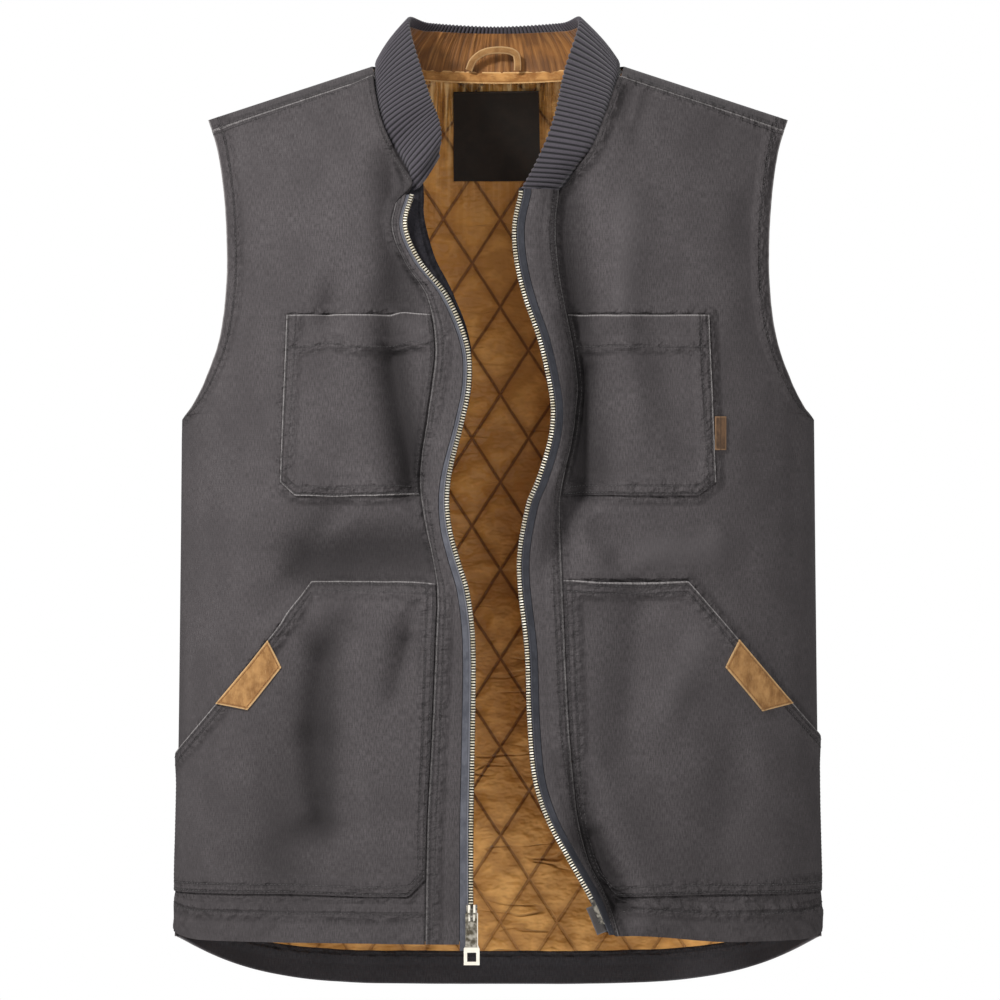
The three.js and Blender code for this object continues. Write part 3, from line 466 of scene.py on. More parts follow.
def noise(u, v, seed):
    """Smooth noise from -1 to 1 with cells one unit wide."""
    count = 64
    values = np.random.default_rng(seed).uniform(-1, 1, (count, count))
    i, j = np.floor(u).astype(int), np.floor(v).astype(int)
    a, b = smoothstep(u - i), smoothstep(v - j)
    at = lambda di, dj: values[(i + di) % count, (j + dj) % count]
    return lerp(lerp(at(0, 0), at(1, 0), a), lerp(at(0, 1), at(1, 1), a), b)


def spread(length, step):
    """Stations from 0 to 1 along a length, close together at both ends."""
    near = np.array(EDGE_CELLS)
    inner = np.linspace(near[-1], length - near[-1], max(2, round((length - 2 * near[-1]) / step)) + 1)
    return np.concatenate(([0], near[:-1], inner, length - near[:-1][::-1], [length])) / length


def arc_lengths(points):
    """Distance along the last row of points, from the first of them."""
    steps = np.linalg.norm(np.diff(points, axis=-2), axis=-1)
    return np.concatenate((np.zeros_like(steps[..., :1]), np.cumsum(steps, axis=-1)), axis=-1)


def climb(points):
    """Distance up each column of points, from the first row."""
    return arc_lengths(points.swapaxes(0, 1)).swapaxes(0, 1)


def along_line(values, lengths, where):
    """Points or directions at some distances along a line."""
    return np.stack([np.interp(where, lengths, values[:, k]) for k in range(3)], axis=-1)


def unit(vectors):
    return vectors / np.maximum(np.linalg.norm(vectors, axis=-1, keepdims=True), 1e-12)


# The worn form

half_width = profile(BODY, "z", "half_width")
front_depth = profile(BODY, "z", "front")
back_depth = profile(BODY, "z", "back")
armhole_x = profile(ARMHOLE, "z", "x")
facing_reach = profile(FACING_ROLL, "z", "reach")
chest_outer_x = profile(CHEST_POCKET_OUTER, "z", "x")
neckline_x = {side: profile(NECKLINES[side], "z", "x") for side in SIDES}
seam_x = {side: profile(FRONT_EDGES[side], "z", "seam") for side in SIDES}
teeth_x = {side: profile(FRONT_EDGES[side], "z", "teeth") for side in SIDES}
edge_lift = {side: profile(FRONT_EDGES[side], "z", "lift") for side in SIDES}


def ridge_height(x):
    out = np.abs(x)
    arch = SHOULDER_SLOPE * (NECK_POINT_X**2 - out**2) / (2 * NECK_POINT_X)
    return np.where(out >= NECK_POINT_X, -SHOULDER_SLOPE * (out - NECK_POINT_X), arch)


def fold_height(face, x, z):
    """Height of the folds. Where sunk ones meet, the deeper one counts for more than their sum."""
    raised, sunk = np.zeros_like(x), np.zeros_like(x)
    for k in np.flatnonzero(FOLDS["face"] == face):
        fold = {name: values[k] for name, values in FOLDS.items()}
        dx, dz = fold["x1"] - fold["x0"], fold["z1"] - fold["z0"]
        along = np.clip(((x - fold["x0"]) * dx + (z - fold["z0"]) * dz) / (dx * dx + dz * dz), 0, 1)
        away = np.hypot(x - fold["x0"] - along * dx, z - fold["z0"] - along * dz)
        height = lerp(fold["start"], fold["end"], along) * np.exp(-((away / fold["width"]) ** 2))
        raised = raised + np.maximum(height, 0)
        sunk = sunk + np.maximum(-height, 0) ** FOLD_BLEND
    return raised - sunk ** (1 / FOLD_BLEND)


def edge_fade(x, z):
    """Share of the folds that is left near the open edges, so that the zip stays in place."""
    fade = np.ones_like(x)
    for side in SIDES:
        teeth, seam = teeth_x[side](z), seam_x[side](z)
        near = smoothstep((np.abs(x) - teeth) / (seam - teeth + FOLD_CLEARANCE))
        fade = np.where(x * side > 0, near, fade)
    return fade


def crumple(face, x, z):
    height = np.zeros_like(x)
    for seed, wide, tall, high in zip(*CRUMPLES.values()):
        height = height + high * noise(x / wide + 17 * face, z / tall, int(seed))
    return height


def lift_at(x, z):
    lift = np.zeros_like(x)
    for side in SIDES:
        fade = smoothstep(1 - (np.abs(x) - seam_x[side](z)) / EDGE_FADE)
        lift = np.where(x * side > 0, edge_lift[side](z) * fade, lift)
    return lift


def body_point(face, angle, z):
    """A point of the outer cloth. The angle is 0 on the centre line and a right angle at the side seam."""
    angle, z = np.broadcast_arrays(np.asarray(angle, float), np.asarray(z, float))
    power = 2 / CROSS_POWER
    x = np.sign(angle) * half_width(z) * np.abs(np.sin(angle)) ** power
    flank = np.maximum(np.cos(angle), 0) ** power
    below = np.clip((ridge_height(x) - z) / SHOULDER_ROUND, 0, 1)
    shoulder = np.sqrt(1 - (1 - below) ** 2)
    depth = front_depth(z) + lift_at(x, z) if face == FRONT else back_depth(z)
    fade = edge_fade(x, z) if face == FRONT else 1.0
    depth = depth + fade * fold_height(face, x, z) + crumple(face, x, z)
    return np.stack((x, face * depth * flank * shoulder, z), axis=-1)


def section_x(angle, z):
    return half_width(z) * np.abs(np.sin(angle)) ** (2 / CROSS_POWER)


def angle_of(x, z):
    return np.minimum(np.arcsin(np.clip(x / half_width(z), 0, 1) ** (CROSS_POWER / 2)), SIDE_SEAM_ANGLE)


def outer_angle(z):
    return angle_of(np.where(z <= UNDERARM_Z, half_width(z), armhole_x(z)), z)


def panel_edge_x(side, z):
    return np.where(z > NECKLINES[side]["z"][0], neckline_x[side](z), seam_x[side](z))


def towards_centre(x):
    return 1 - np.minimum(np.abs(x) / half_width(HEM_Z), 1) ** TAIL_POWER


def tail_z(x):
    return HEM_Z - TAIL_DROP * towards_centre(x)


def tail_lining_z(x):
    return HEM_Z + HEM_TURN - TAIL_LINING_DROP * towards_centre(x)


def back_neck_z(x):
    return -BACK_NECK_DROP * (1 - (x / NECK_POINT_X) ** 2)


class Lattice:
    """Points of cloth in rows and columns, with the way out of the worn form at each."""

    def __init__(self, point, out):
        self.point = point
        self.out = out

    def at(self, lift):
        return self.point + self.out * np.broadcast_to(lift, self.point.shape[:-1])[..., None]

    def raised(self, lift):
        return Lattice(self.at(lift), self.out)

    def across(self):
        return arc_lengths(self.point)

    def border(self):
        return [self.point[0], self.point[-1], self.point[:, 0], self.point[:, -1]]

    def inset(self, edge, distance):
        """The line at a distance from one edge: left, right, bottom or top."""
        both = np.concatenate((self.point, self.out), axis=-1)
        if edge in ("bottom", "top"):
            both = both.swapaxes(0, 1)
        if edge in ("right", "top"):
            both = both[:, ::-1]
        lengths = arc_lengths(both[..., :3])
        k = np.clip((lengths < distance).sum(axis=1), 1, both.shape[1] - 1)
        rows = np.arange(len(both))
        share = (distance - lengths[rows, k - 1]) / (lengths[rows, k] - lengths[rows, k - 1])
        line = lerp(both[rows, k - 1], both[rows, k], share[:, None])
        return Lattice(line[:, :3], line[:, 3:])

    def part(self, chosen):
        return Lattice(self.point[chosen], self.out[chosen])


def lattice(at, s, t, step_s, step_t):
    """The lattice of a surface at the given places, its ways out found from steps to either side."""
    along = at(s + step_s, t) - at(s - step_s, t)
    up = at(s, t + step_t) - at(s, t - step_t)
    out = unit(np.cross(along, up))
    point = at(s, t)
    outward = np.stack((0.4 * point[..., 0], point[..., 1], np.full(point.shape[:-1], 40.0)), axis=-1)
    turned = np.sign(np.sum(out * outward, axis=-1, keepdims=True))
    return Lattice(point, out * np.where(turned == 0, 1, turned))


def form_cloth(face, angle, z):
    """Cloth of the worn form at signed angles and heights."""
    return lattice(lambda a, h: body_point(face, a, h), angle, z, ANGLE_STEP, HEIGHT_STEP)


def front_cloth(side, x, z):
    """Cloth of one front at distances from the centre line and heights."""
    x, z = np.broadcast_arrays(np.asarray(x, float), np.asarray(z, float))
    return form_cloth(FRONT, side * angle_of(x, z), z)


def back_rise(t, x, bottom_x):
    top = np.where(np.abs(x) < NECK_POINT_X, back_neck_z(x), ridge_height(x))
    bottom = tail_lining_z(bottom_x)
    tail = lerp(bottom, tail_z(bottom_x), -t)
    body = lerp(bottom, top - SHOULDER_ROUND, t)
    over = top - SHOULDER_ROUND * (1 - np.cos((2 - t) * math.pi / 2))
    return np.where(t <= 0, tail, np.where(t <= 1, body, over))


def back_at(s, t):
    """The back: t below 0 in the tail, 1 where the shoulder starts to round over, 2 on the shoulder line."""
    s, t = np.broadcast_arrays(np.asarray(s, float), np.asarray(t, float))
    out_z = back_rise(t, np.full_like(s, SHOULDER_TIP_X), half_width(HEM_Z))
    angle = s * outer_angle(out_z)
    z = back_rise(t, section_x(angle, out_z), section_x(s * math.pi / 2, HEM_Z))
    return np.where((t <= 2)[..., None], body_point(BACK, angle, z), body_point(FRONT, angle, z))


def back_cloth(s, t):
    return lattice(back_at, *np.meshgrid(s, t), BACK_STEP, BACK_STEP)


def back_spot(x, z):
    """Cloth of the back at signed distances from the centre line and heights."""
    return form_cloth(BACK, np.sign(x) * angle_of(np.abs(x), z), z)


# Meshes and pieces


def distance_to(points, lines):
    """Distance from each point to the nearest of some lines."""
    flat = points.reshape(-1, 3)
    nearest = np.full(len(flat), FAR)
    for line in lines:
        for k in range(0, len(line) - 1, LINE_BATCH):
            end = line[k + 1 : k + 1 + LINE_BATCH]
            start = line[k : k + len(end)]
            run = end - start
            square = np.maximum((run * run).sum(axis=-1), 1e-9)
            gap = flat[:, None] - start
            share = np.clip((gap * run).sum(axis=-1) / square, 0, 1)
            away = np.linalg.norm(gap - share[..., None] * run, axis=-1)
            nearest = np.minimum(nearest, away.min(axis=1))
    return nearest.reshape(points.shape[:-1])


def make_object(name, points, faces, material, values=None, sharp=45):
    mesh = bpy.data.meshes.new(name)
    mesh.from_pydata((points * MM).tolist(), [], [list(map(int, face)) for face in faces])
    for label, data in (values or {}).items():
        if data.ndim == 2:
            mesh.attributes.new(label, "FLOAT_VECTOR", "POINT").data.foreach_set("vector", data.ravel())
        else:
            mesh.attributes.new(label, "FLOAT", "POINT").data.foreach_set("value", data.ravel())
    mesh.shade_smooth()
    mesh.set_sharp_from_angle(angle=math.radians(sharp))
    mesh.materials.append(material)
    made = bpy.data.objects.new(name, mesh)
    bpy.context.scene.collection.objects.link(made)
    return made


def signed_volume(points, faces):
    a, b, c, d = (points[faces[:, k]] for k in range(4))
    return (a * (np.cross(b, c) + np.cross(c, d))).sum()


def shell(name, cloth, outer, inner, material, /, keep=None, **values):
    """A closed wall of cloth between two distances from a lattice."""
    rows, columns = cloth.point.shape[:2]
    count = rows * columns
    points = np.concatenate((cloth.at(outer).reshape(-1, 3), cloth.at(inner).reshape(-1, 3)))
    index = np.arange(count).reshape(rows, columns)
    quads = np.stack((index[:-1, :-1], index[:-1, 1:], index[1:, 1:], index[1:, :-1]), axis=-1)
    quads = quads.reshape(-1, 4) if keep is None else quads[keep]
    edges = np.concatenate([quads[:, [k, (k + 1) % 4]] for k in range(4)])
    codes = edges[:, 0] * count + edges[:, 1]
    border = edges[~np.isin(edges[:, 1] * count + edges[:, 0], codes)]
    rim = np.stack((border[:, 1], border[:, 0], border[:, 0] + count, border[:, 1] + count), axis=-1)
    faces = np.concatenate((quads, quads[:, ::-1] + count, rim))
    if signed_volume(points, faces) < 0:
        faces = faces[:, ::-1]
    used, faces = np.unique(faces, return_inverse=True)
    faces = faces.reshape(-1, 4)
    doubled = {}
    for label, data in values.items():
        data = np.broadcast_to(data, (rows, columns) + np.shape(data)[2:])
        doubled[label] = np.concatenate([data.reshape((count,) + data.shape[2:])] * 2)[used]
    return make_object(name, points[used], faces, material, doubled)


def flat_place(u, v):
    """Places on flat cloth in metres, from distances across it and up it."""
    return np.stack(np.broadcast_arrays(u * MM, v * MM, 0.0), axis=-1)


def cloth_place(cloth):
    """Where each point lies on the flat cloth: round the body and up it."""
    x, z = cloth.point[..., 0], cloth.point[..., 2]
    return flat_place(np.sign(x) * angle_of(np.abs(x), z) * QUARTER_GIRTH, z)


def strip_place(cloth, middle=0):
    """Where each point lies on a piece of its own: across from one of its columns, and up."""
    across = cloth.across()
    return flat_place(across - across[:, middle : middle + 1], cloth.point[..., 2])


def fold_shade(cloth):
    """How far folds stand out of the cloth or, below 0, sink into it. The canvas paints shade into sunk folds
    and highlights onto raised ones from it.
    """
    x, y, z = (cloth.point[..., k] for k in range(3))
    return np.where(y < 0, fold_height(FRONT, x, z), fold_height(BACK, x, z))


def ride(made, node=None):
    """Fix a piece to the vest, in place of a solid if one is named."""
    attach(made, "vest")
    if node:
        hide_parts(node)
    return made


def sewn(names, cloth, wall, material, /, edges, seams, edge_gap=0.0, painted_shadow_distance=FAR, **values):
    """A shell in place of a solid, with the distances of its points from its edges and its seams. Further
    distances can be given to lines along which a painted shadow is drawn like the shade of a seam.
    """
    name, slot, node = names
    known = {
        "cloth": cloth_place(cloth),
        "edge": distance_to(cloth.point, edges) + edge_gap,
        "seam": np.minimum(distance_to(cloth.point, seams), painted_shadow_distance),
    }
    return ride(shell(name, cloth, *wall, material, **(known | values)), node)


def tube(name, points, quads, ends, material, sharp, **values):
    """A closed tube whose faces look out, with values at its points."""
    flat, quads = points.reshape(-1, 3), quads.reshape(-1, 4)
    faces = quads.tolist() + [end.tolist() for end in ends]
    if signed_volume(flat, quads) < 0:
        faces = [face[::-1] for face in faces]
    listed = {label: data.reshape((-1,) + data.shape[2:]) for label, data in values.items()}
    return make_object(name, flat, faces, material, listed, sharp)


def frames_along(line, lift, places, reach):
    """Points at distances along a line, and the ways along it, out of the cloth and across it at each."""
    points = line.at(lift)
    lengths = arc_lengths(points)
    after, before = (along_line(points, lengths, places + step) for step in (reach, -reach))
    along, out = unit(after - before), unit(along_line(line.out, lengths, places))
    return along_line(points, lengths, places), along, out, unit(np.cross(along, out))


def block_faces(rings, corners):
    """Sides and ends of a small block made of rings of corners."""
    sides = []
    for k in range(0, (rings - 1) * corners, corners):
        for a in range(corners):
            b = (a + 1) % corners
            sides.append((k + a, k + b, k + corners + b, k + corners + a))
    first = tuple(range(corners))
    last = tuple(range((rings - 1) * corners, rings * corners))
    return sides, [first[::-1], last]


def declare_sheet(made, cut):
    width, length, area = FLAT_CUTS[cut]


class Stitches:
    """Rows of raised stitches gathered into one piece."""

    def __init__(self):
        self.points = []
        self.faces = []

    def row(self, line, lift, trim=(0, 0), pitch=STITCH_PITCH):
        length = arc_lengths(line.at(lift))[-1]
        places = np.arange(trim[0] + pitch / 2, length - trim[1], pitch)
        if len(places) == 0:
            return
        centre, along, out, across = frames_along(line, lift, places, 0.5)
        half, wide, high = STITCH["length"] / 2, STITCH["width"] / 2, STITCH["height"]
        rings = ((-half, 0.3, 0.1), (-half / 2, 1, 1), (half / 2, 1, 1), (half, 0.3, 0.1))
        corners = []
        for shift, width, height in rings:
            middle, edge = centre + along * shift, across * wide * width
            corners += [middle - edge, middle + out * high * height, middle + edge]
        sides, ends = block_faces(len(rings), 3)
        first = sum(len(block) for block in self.points)
        for base in range(first, first + len(places) * len(corners), len(corners)):
            self.faces += [[base + corner for corner in face] for face in sides + ends]
        self.points.append(np.stack(corners, axis=1).reshape(-1, 3))

    def finish(self, name, material, slot):
        return ride(make_object(name, np.concatenate(self.points), self.faces, material, sharp=80))


# Materials


class Shader:
    """A material's node tree with short ways to add to it."""

    def __init__(self, name, **surface):
        self.material = bpy.data.materials.new(name)
        self.material.use_nodes = True
        self.tree = self.material.node_tree
        self.surface = self.tree.nodes["Principled BSDF"]
        for socket, value in surface.items():
            self.surface.inputs[socket.replace("_", " ")].default_value = value

    def add(self, kind, inputs=(), **settings):
        made = self.tree.nodes.new(kind)
        for name, value in settings.items():
            setattr(made, name, value)
        for key, value in dict(inputs).items():
            self.join(value, made.inputs[key])
        return made

    def join(self, value, socket):
        if isinstance(value, bpy.types.NodeSocket):
            self.tree.links.new(value, socket)
        else:
            socket.default_value = value

    def place(self):
        return self.add("ShaderNodeAttribute", attribute_name="cloth").outputs["Vector"]

    def value(self, name):
        return self.add("ShaderNodeAttribute", attribute_name=name).outputs["Fac"]

    def math(self, operation, a, b=0.0):
        return self.add("ShaderNodeMath", {0: a, 1: b}, operation=operation).outputs[0]

    def band(self, value, low, high, start=1.0, end=0.0):
        """Goes from start to end as the value goes from low to high."""
        inputs = {"Value": value, "From Min": low, "From Max": high, "To Min": start, "To Max": end}
        return self.add("ShaderNodeMapRange", inputs, interpolation_type="SMOOTHSTEP").outputs[0]

    def noise(self, place, scale, detail=3.0, roughness=0.55):
        """Noise with so many cells to the metre along each axis."""
        scaled = self.add("ShaderNodeMapping", {"Vector": place, "Scale": scale}).outputs[0]
        inputs = {"Vector": scaled, "Scale": 1.0, "Detail": detail, "Roughness": roughness}
        return self.add("ShaderNodeTexNoise", inputs).outputs["Fac"]

    def mix(self, share, a, b, blend="MIX"):
        node = self.add("ShaderNodeMix", data_type="RGBA", blend_type=blend)
        self.join(share, node.inputs[0])
        self.join(a, node.inputs[6])
        self.join(b, node.inputs[7])
        return node.outputs[2]

    def bump(self, height, distance, strength=1.0, normal=None):
        inputs = {"Height": height, "Distance": distance, "Strength": strength}
        if normal is not None:
            inputs["Normal"] = normal
        return self.add("ShaderNodeBump", inputs).outputs["Normal"]

    def finish(self, color, normal=None, roughness=None):
        self.join(color, self.surface.inputs["Base Color"])
        if normal is not None:
            self.join(normal, self.surface.inputs["Normal"])
        if roughness is not None:
            self.join(roughness, self.surface.inputs["Roughness"])
        return self.material


def srgb(red, green, blue):
    """A colour given as screen values from 0 to 255."""
    linear = [((v / 255 + 0.055) / 1.055) ** 2.4 if v > 10 else v / 255 / 12.92 for v in (red, green, blue)]
    return (*linear, 1.0)


def palette(*colors):
    return [srgb(*color) for color in colors]


def weave(shader, place, pitch):
    """Height of a plain weave whose threads lie a pitch apart."""
    wave = {}
    for axis in "XY":
        inputs = {"Vector": place, "Scale": 1 / (pitch * MM * 2 * math.pi), "Distortion": 0.6}
        wave[axis] = shader.add("ShaderNodeTexWave", inputs, bands_direction=axis).outputs["Fac"]
    return shader.math("MAXIMUM", wave["X"], wave["Y"])


def canvas_material(name, base, dark, pale, worn):
    """Washed canvas: slubs along the warp, mottling, pale folded edges, and painted shade in sunk folds, in
    seam grooves, beside pocket outlines and towards the bottom, with painted highlights on raised folds.
    """
    shader = Shader(name, Roughness=0.95, Specular_IOR_Level=0.2)
    place = shader.place()
    slubs = shader.noise(place, (1300, 190, 1), 4, 0.65)
    picks = shader.noise(place, (190, 1300, 1), 3, 0.6)
    cloud = shader.noise(place, (24, 19, 1), 4, 0.6)
    color = shader.mix(shader.band(slubs, 0.3, 0.72, 0, 1), dark, base)
    color = shader.mix(shader.band(picks, 0.45, 0.8, 0, 0.3), color, pale)
    color = shader.mix(shader.band(cloud, 0.3, 0.7, 0.5, 0), color, dark)
    deep = tuple(0.35 * c for c in dark[:3]) + (1,)
    # Painted shade in sunk folds and painted highlights on raised ones, from the folds' heights
    sunk = shader.value("fold")
    height = shader.add("ShaderNodeSeparateXYZ", {0: place}).outputs[1]
    color = shader.mix(shader.band(sunk, -31, -3, 0.74, 0), color, deep)
    # Painted shade: the canvas is darker towards the bottom
    color = shader.mix(shader.band(height, -0.72, -0.4, 0.2, 0), color, deep)
    color = shader.mix(shader.band(sunk, 0.5, 8, 0, 0.22), color, pale)
    rubbed = shader.band(shader.value("edge"), 0.4, 1.5)
    rubbed = shader.math("MULTIPLY", rubbed, shader.band(slubs, 0.3, 0.6, 0.2, 0.8))
    color = shader.mix(rubbed, color, worn)
    # Painted shade in the seam grooves, and beside the pockets and the hem row on the front panels
    groove = shader.band(shader.value("seam"), 0.5, 1.5)
    color = shader.mix(shader.math("MULTIPLY", groove, 0.5), color, deep)
    threads = weave(shader, place, 0.9)
    relief = shader.bump(threads, 0.00012, 0.35)
    relief = shader.bump(slubs, 0.0005, 0.35, relief)
    relief = shader.bump(groove, -0.0006, 0.6, relief)
    gathers = shader.noise(place, (130, 150, 1), 2, 0.5)
    gathers = shader.math("MULTIPLY", gathers, shader.band(shader.value("seam"), 0.5, 9))
    relief = shader.bump(gathers, 0.008, 0.8, relief)
    return shader.finish(color, relief)


def quilt_material():
    """Quilted satin: dark sunk stitch lines along both slants of the diamonds, fine creases, a soft gloss.
    The lines are dark partly from the thread and partly from painted shade; the puffs, creases and rumples
    carry painted shade, the bottom painted light, and the pleats near the neck painted highlights and shade.
    """
    shader = Shader("quilted_satin", Sheen_Weight=0.25, Sheen_Roughness=0.35)
    place = shader.place()
    split = shader.add("ShaderNodeSeparateXYZ", {0: place})
    u = shader.math("DIVIDE", shader.math("SUBTRACT", split.outputs[0], QUILT_U * MM), QUILT_WIDTH * MM)
    v = shader.math("DIVIDE", shader.math("SUBTRACT", split.outputs[1], QUILT_V * MM), QUILT_HEIGHT * MM)
    nearest = None
    for line in (shader.math("ADD", u, v), shader.math("SUBTRACT", u, v)):
        away = shader.math("PINGPONG", line, 0.5)
        nearest = away if nearest is None else shader.math("MINIMUM", nearest, away)
    across = 1 / math.hypot(1 / QUILT_WIDTH, 1 / QUILT_HEIGHT)
    line = shader.band(nearest, 0.4 / across, 1.7 / across)
    hollow = shader.band(nearest, 0.5 / across, 8 / across)
    low = shader.band(split.outputs[1], -0.66, -0.4, 1, 0.35)
    waves = shader.noise(place, (15, 62, 1), 1.5, 0.5)
    levels = shader.math("ABSOLUTE", shader.math("SUBTRACT", waves, 0.5))
    patches = shader.band(shader.noise(place, (19, 27, 1), 1, 0.5), 0.5, 0.64, 0, 1)
    creases = shader.math("MULTIPLY", shader.band(levels, 0.0, 0.045), patches)
    creases = shader.math("MULTIPLY", creases, low)
    rumples = shader.noise(place, (32, 48, 1), 3, 0.55)
    cloud = shader.noise(place, (11, 14, 1), 3, 0.5)
    grain = shader.noise(place, (900, 2600, 1), 2, 0.5)
    color = shader.mix(shader.band(cloud, 0.3, 0.7, 0, 1), srgb(206, 146, 66), srgb(236, 176, 92))
    # Painted light: the lining is lighter towards the bottom
    color = shader.mix(shader.band(split.outputs[1], -0.66, -0.36, 0.5, 0), color, srgb(252, 190, 108))
    # Painted shade in the creases, which show mostly low down
    color = shader.mix(shader.math("MULTIPLY", creases, 0.6), color, srgb(134, 84, 28))
    # Painted shade in the rumples' hollows
    color = shader.mix(shader.band(rumples, 0.42, 0.62, 0.55, 0), color, srgb(172, 114, 42))
    # Painted shade across each puff towards its stitch lines
    color = shader.mix(shader.math("MULTIPLY", hollow, 0.4), color, srgb(150, 94, 28))
    # The stitch lines: the thread's colour together with painted shade in the sunk lines, lighter towards the
    # bottom
    fading = shader.band(split.outputs[1], -0.71, -0.6, 0.35, 0.85)
    color = shader.mix(shader.math("MULTIPLY", line, fading), color, srgb(108, 60, 12))
    gather = shader.value("gather")
    pleats = shader.noise(place, (170, 8, 1), 3, 0.6)
    # Painted highlights on the pleats near the neck
    lit = shader.math("MULTIPLY", shader.band(pleats, 0.46, 0.6, 0, 1), gather)
    color = shader.mix(lit, color, srgb(255, 214, 150))
    # Painted shade between those pleats
    dim = shader.math("MULTIPLY", shader.band(pleats, 0.34, 0.48, 0.8, 0), gather)
    color = shader.mix(dim, color, srgb(120, 72, 24))
    relief = shader.bump(rumples, 0.011, 0.8)
    relief = shader.bump(creases, -0.002, 0.8, relief)
    relief = shader.bump(shader.math("MULTIPLY", pleats, gather), 0.01, 0.9, relief)
    relief = shader.bump(line, -0.0012, 0.7, relief)
    relief = shader.bump(grain, 0.0001, 0.3, relief)
    return shader.finish(color, relief, shader.band(grain, 0.3, 0.7, 0.44, 0.6))


def rib_material():
    """Rib knit: pale ridges and dark valleys, which are painted highlight and painted shade, small stitches
    along each rib.
    """
    shader = Shader("rib_knit", Roughness=0.95, Sheen_Weight=0.3, Sheen_Roughness=0.5)
    place = shader.place()
    ridge = shader.value("rib")
    loops = shader.noise(place, (420, 760, 1), 2, 0.5)
    # Painted shade in the rib valleys and painted highlight on the ridges
    color = shader.mix(shader.band(ridge, 0.12, 0.8, 0, 1), srgb(16, 14, 18), srgb(76, 71, 78))
    color = shader.mix(shader.band(loops, 0.45, 0.75, 0, 0.35), color, srgb(50, 46, 54))
    return shader.finish(color, shader.bump(loops, 0.0006, 0.5))


def woven_material(name, base, dark, pale, pitch=0.7, **surface):
    """Plain woven cloth or tape with mottling and a rubbed edge."""
    shader = Shader(name, **{"Roughness": 0.85, **surface})
    place = shader.place()
    cloud = shader.noise(place, (90, 70, 1), 4, 0.6)
    slubs = shader.noise(place, (1400, 160, 1), 3, 0.6)
    color = shader.mix(shader.band(cloud, 0.3, 0.7, 0, 1), dark, base)
    color = shader.mix(shader.band(slubs, 0.5, 0.85, 0, 0.4), color, pale)
    for line, reach, tint in (("edge", 1.5, pale), ("seam", 1.0, dark)):
        near = shader.band(shader.value(line), 0.3, reach)
        color = shader.mix(shader.math("MULTIPLY", near, 0.6), color, tint)
    relief = shader.bump(weave(shader, place, pitch), 0.00012, 0.4)
    return shader.finish(color, shader.bump(cloud, 0.0006, 0.4, relief))


def gathered_material():
    """Brown lining gathered into upright pleats, with painted shade between the pleats and painted highlights
    on them.
    """
    shader = Shader("gathered_brown", Roughness=0.7, Sheen_Weight=0.2)
    place = shader.place()
    pleats = shader.noise(place, (330, 20, 1), 2, 0.5)
    cloud = shader.noise(place, (22, 30, 1), 3, 0.5)
    color = shader.mix(shader.band(cloud, 0.35, 0.65, 0, 1), srgb(110, 68, 26), srgb(156, 102, 44))
    # Painted shade between the pleats
    color = shader.mix(shader.band(pleats, 0.3, 0.5, 0.55, 0), color, srgb(74, 44, 14))
    # Painted highlights on the pleats
    color = shader.mix(shader.band(pleats, 0.52, 0.68, 0, 0.4), color, srgb(198, 142, 78))
    relief = shader.bump(weave(shader, place, 0.8), 0.00012, 0.4)
    return shader.finish(color, shader.bump(pleats, 0.003, 0.7, relief))


def thread_material(name, base, pale):
    shader = Shader(name, Roughness=0.8, Sheen_Weight=0.2)
    where = shader.add("ShaderNodeTexCoord").outputs["Object"]
    twist = shader.noise(where, (900, 900, 900), 2, 0.5)
    return shader.finish(shader.mix(shader.band(twist, 0.35, 0.7, 0, 1), base, pale))


def metal_material(name, dull, bright, painted_highlight_of=None):
    """Brass with small tarnished spots. It is bright all over, or carries painted highlights only where a
    given function says so.
    """
    shader = Shader(name, Metallic=1.0)
    where = shader.add("ShaderNodeTexCoord")
    spots = shader.noise(where.outputs["Object"], (260, 260, 260), 3, 0.5)
    share = shader.band(spots, 0.35, 0.7, 0, 1)
    if painted_highlight_of:
        split = shader.add("ShaderNodeSeparateXYZ", {0: where.outputs["Generated"]})
        # Painted highlights, over which the tarnished spots show only faintly
        painted_highlight = painted_highlight_of(shader, split.outputs)
        share = shader.math("MAXIMUM", shader.math("MULTIPLY", share, 0.35), painted_highlight)
    color = shader.mix(share, dull, bright)
    dented = shader.bump(spots, 0.0001, 0.25)
    return shader.finish(color, dented, shader.band(spots, 0.3, 0.7, 0.5, 0.36))


def ring_painted_highlight(shader, place):
    """Painted highlights: the pull's ring is painted bright below its plate, and so is one edge of the plate.
    """
    ring = shader.band(place[2], 0.32, 0.36)
    return shader.math("MAXIMUM", ring, shader.band(place[0], 0.82, 0.86, 0, 0.8))


def slider_painted_highlights(shader, place):
    """Painted highlights: two upright strokes are painted bright on the slider."""
    mirrored = shader.math("PINGPONG", place[0], 0.5)
    away = shader.math("ABSOLUTE", shader.math("SUBTRACT", mirrored, 0.27))
    return shader.band(away, 0.07, 0.12)


def floor_material():
    shader = Shader("pale_floor", Roughness=0.9)
    where = shader.add("ShaderNodeTexCoord").outputs["Object"]
    cloud = shader.noise(where, (1.5, 1.5, 1.5), 2, 0.5)
    share = shader.band(cloud, 0.3, 0.7, 0, 1)
    return shader.finish(shader.mix(share, srgb(238, 238, 238), srgb(244, 244, 244)))


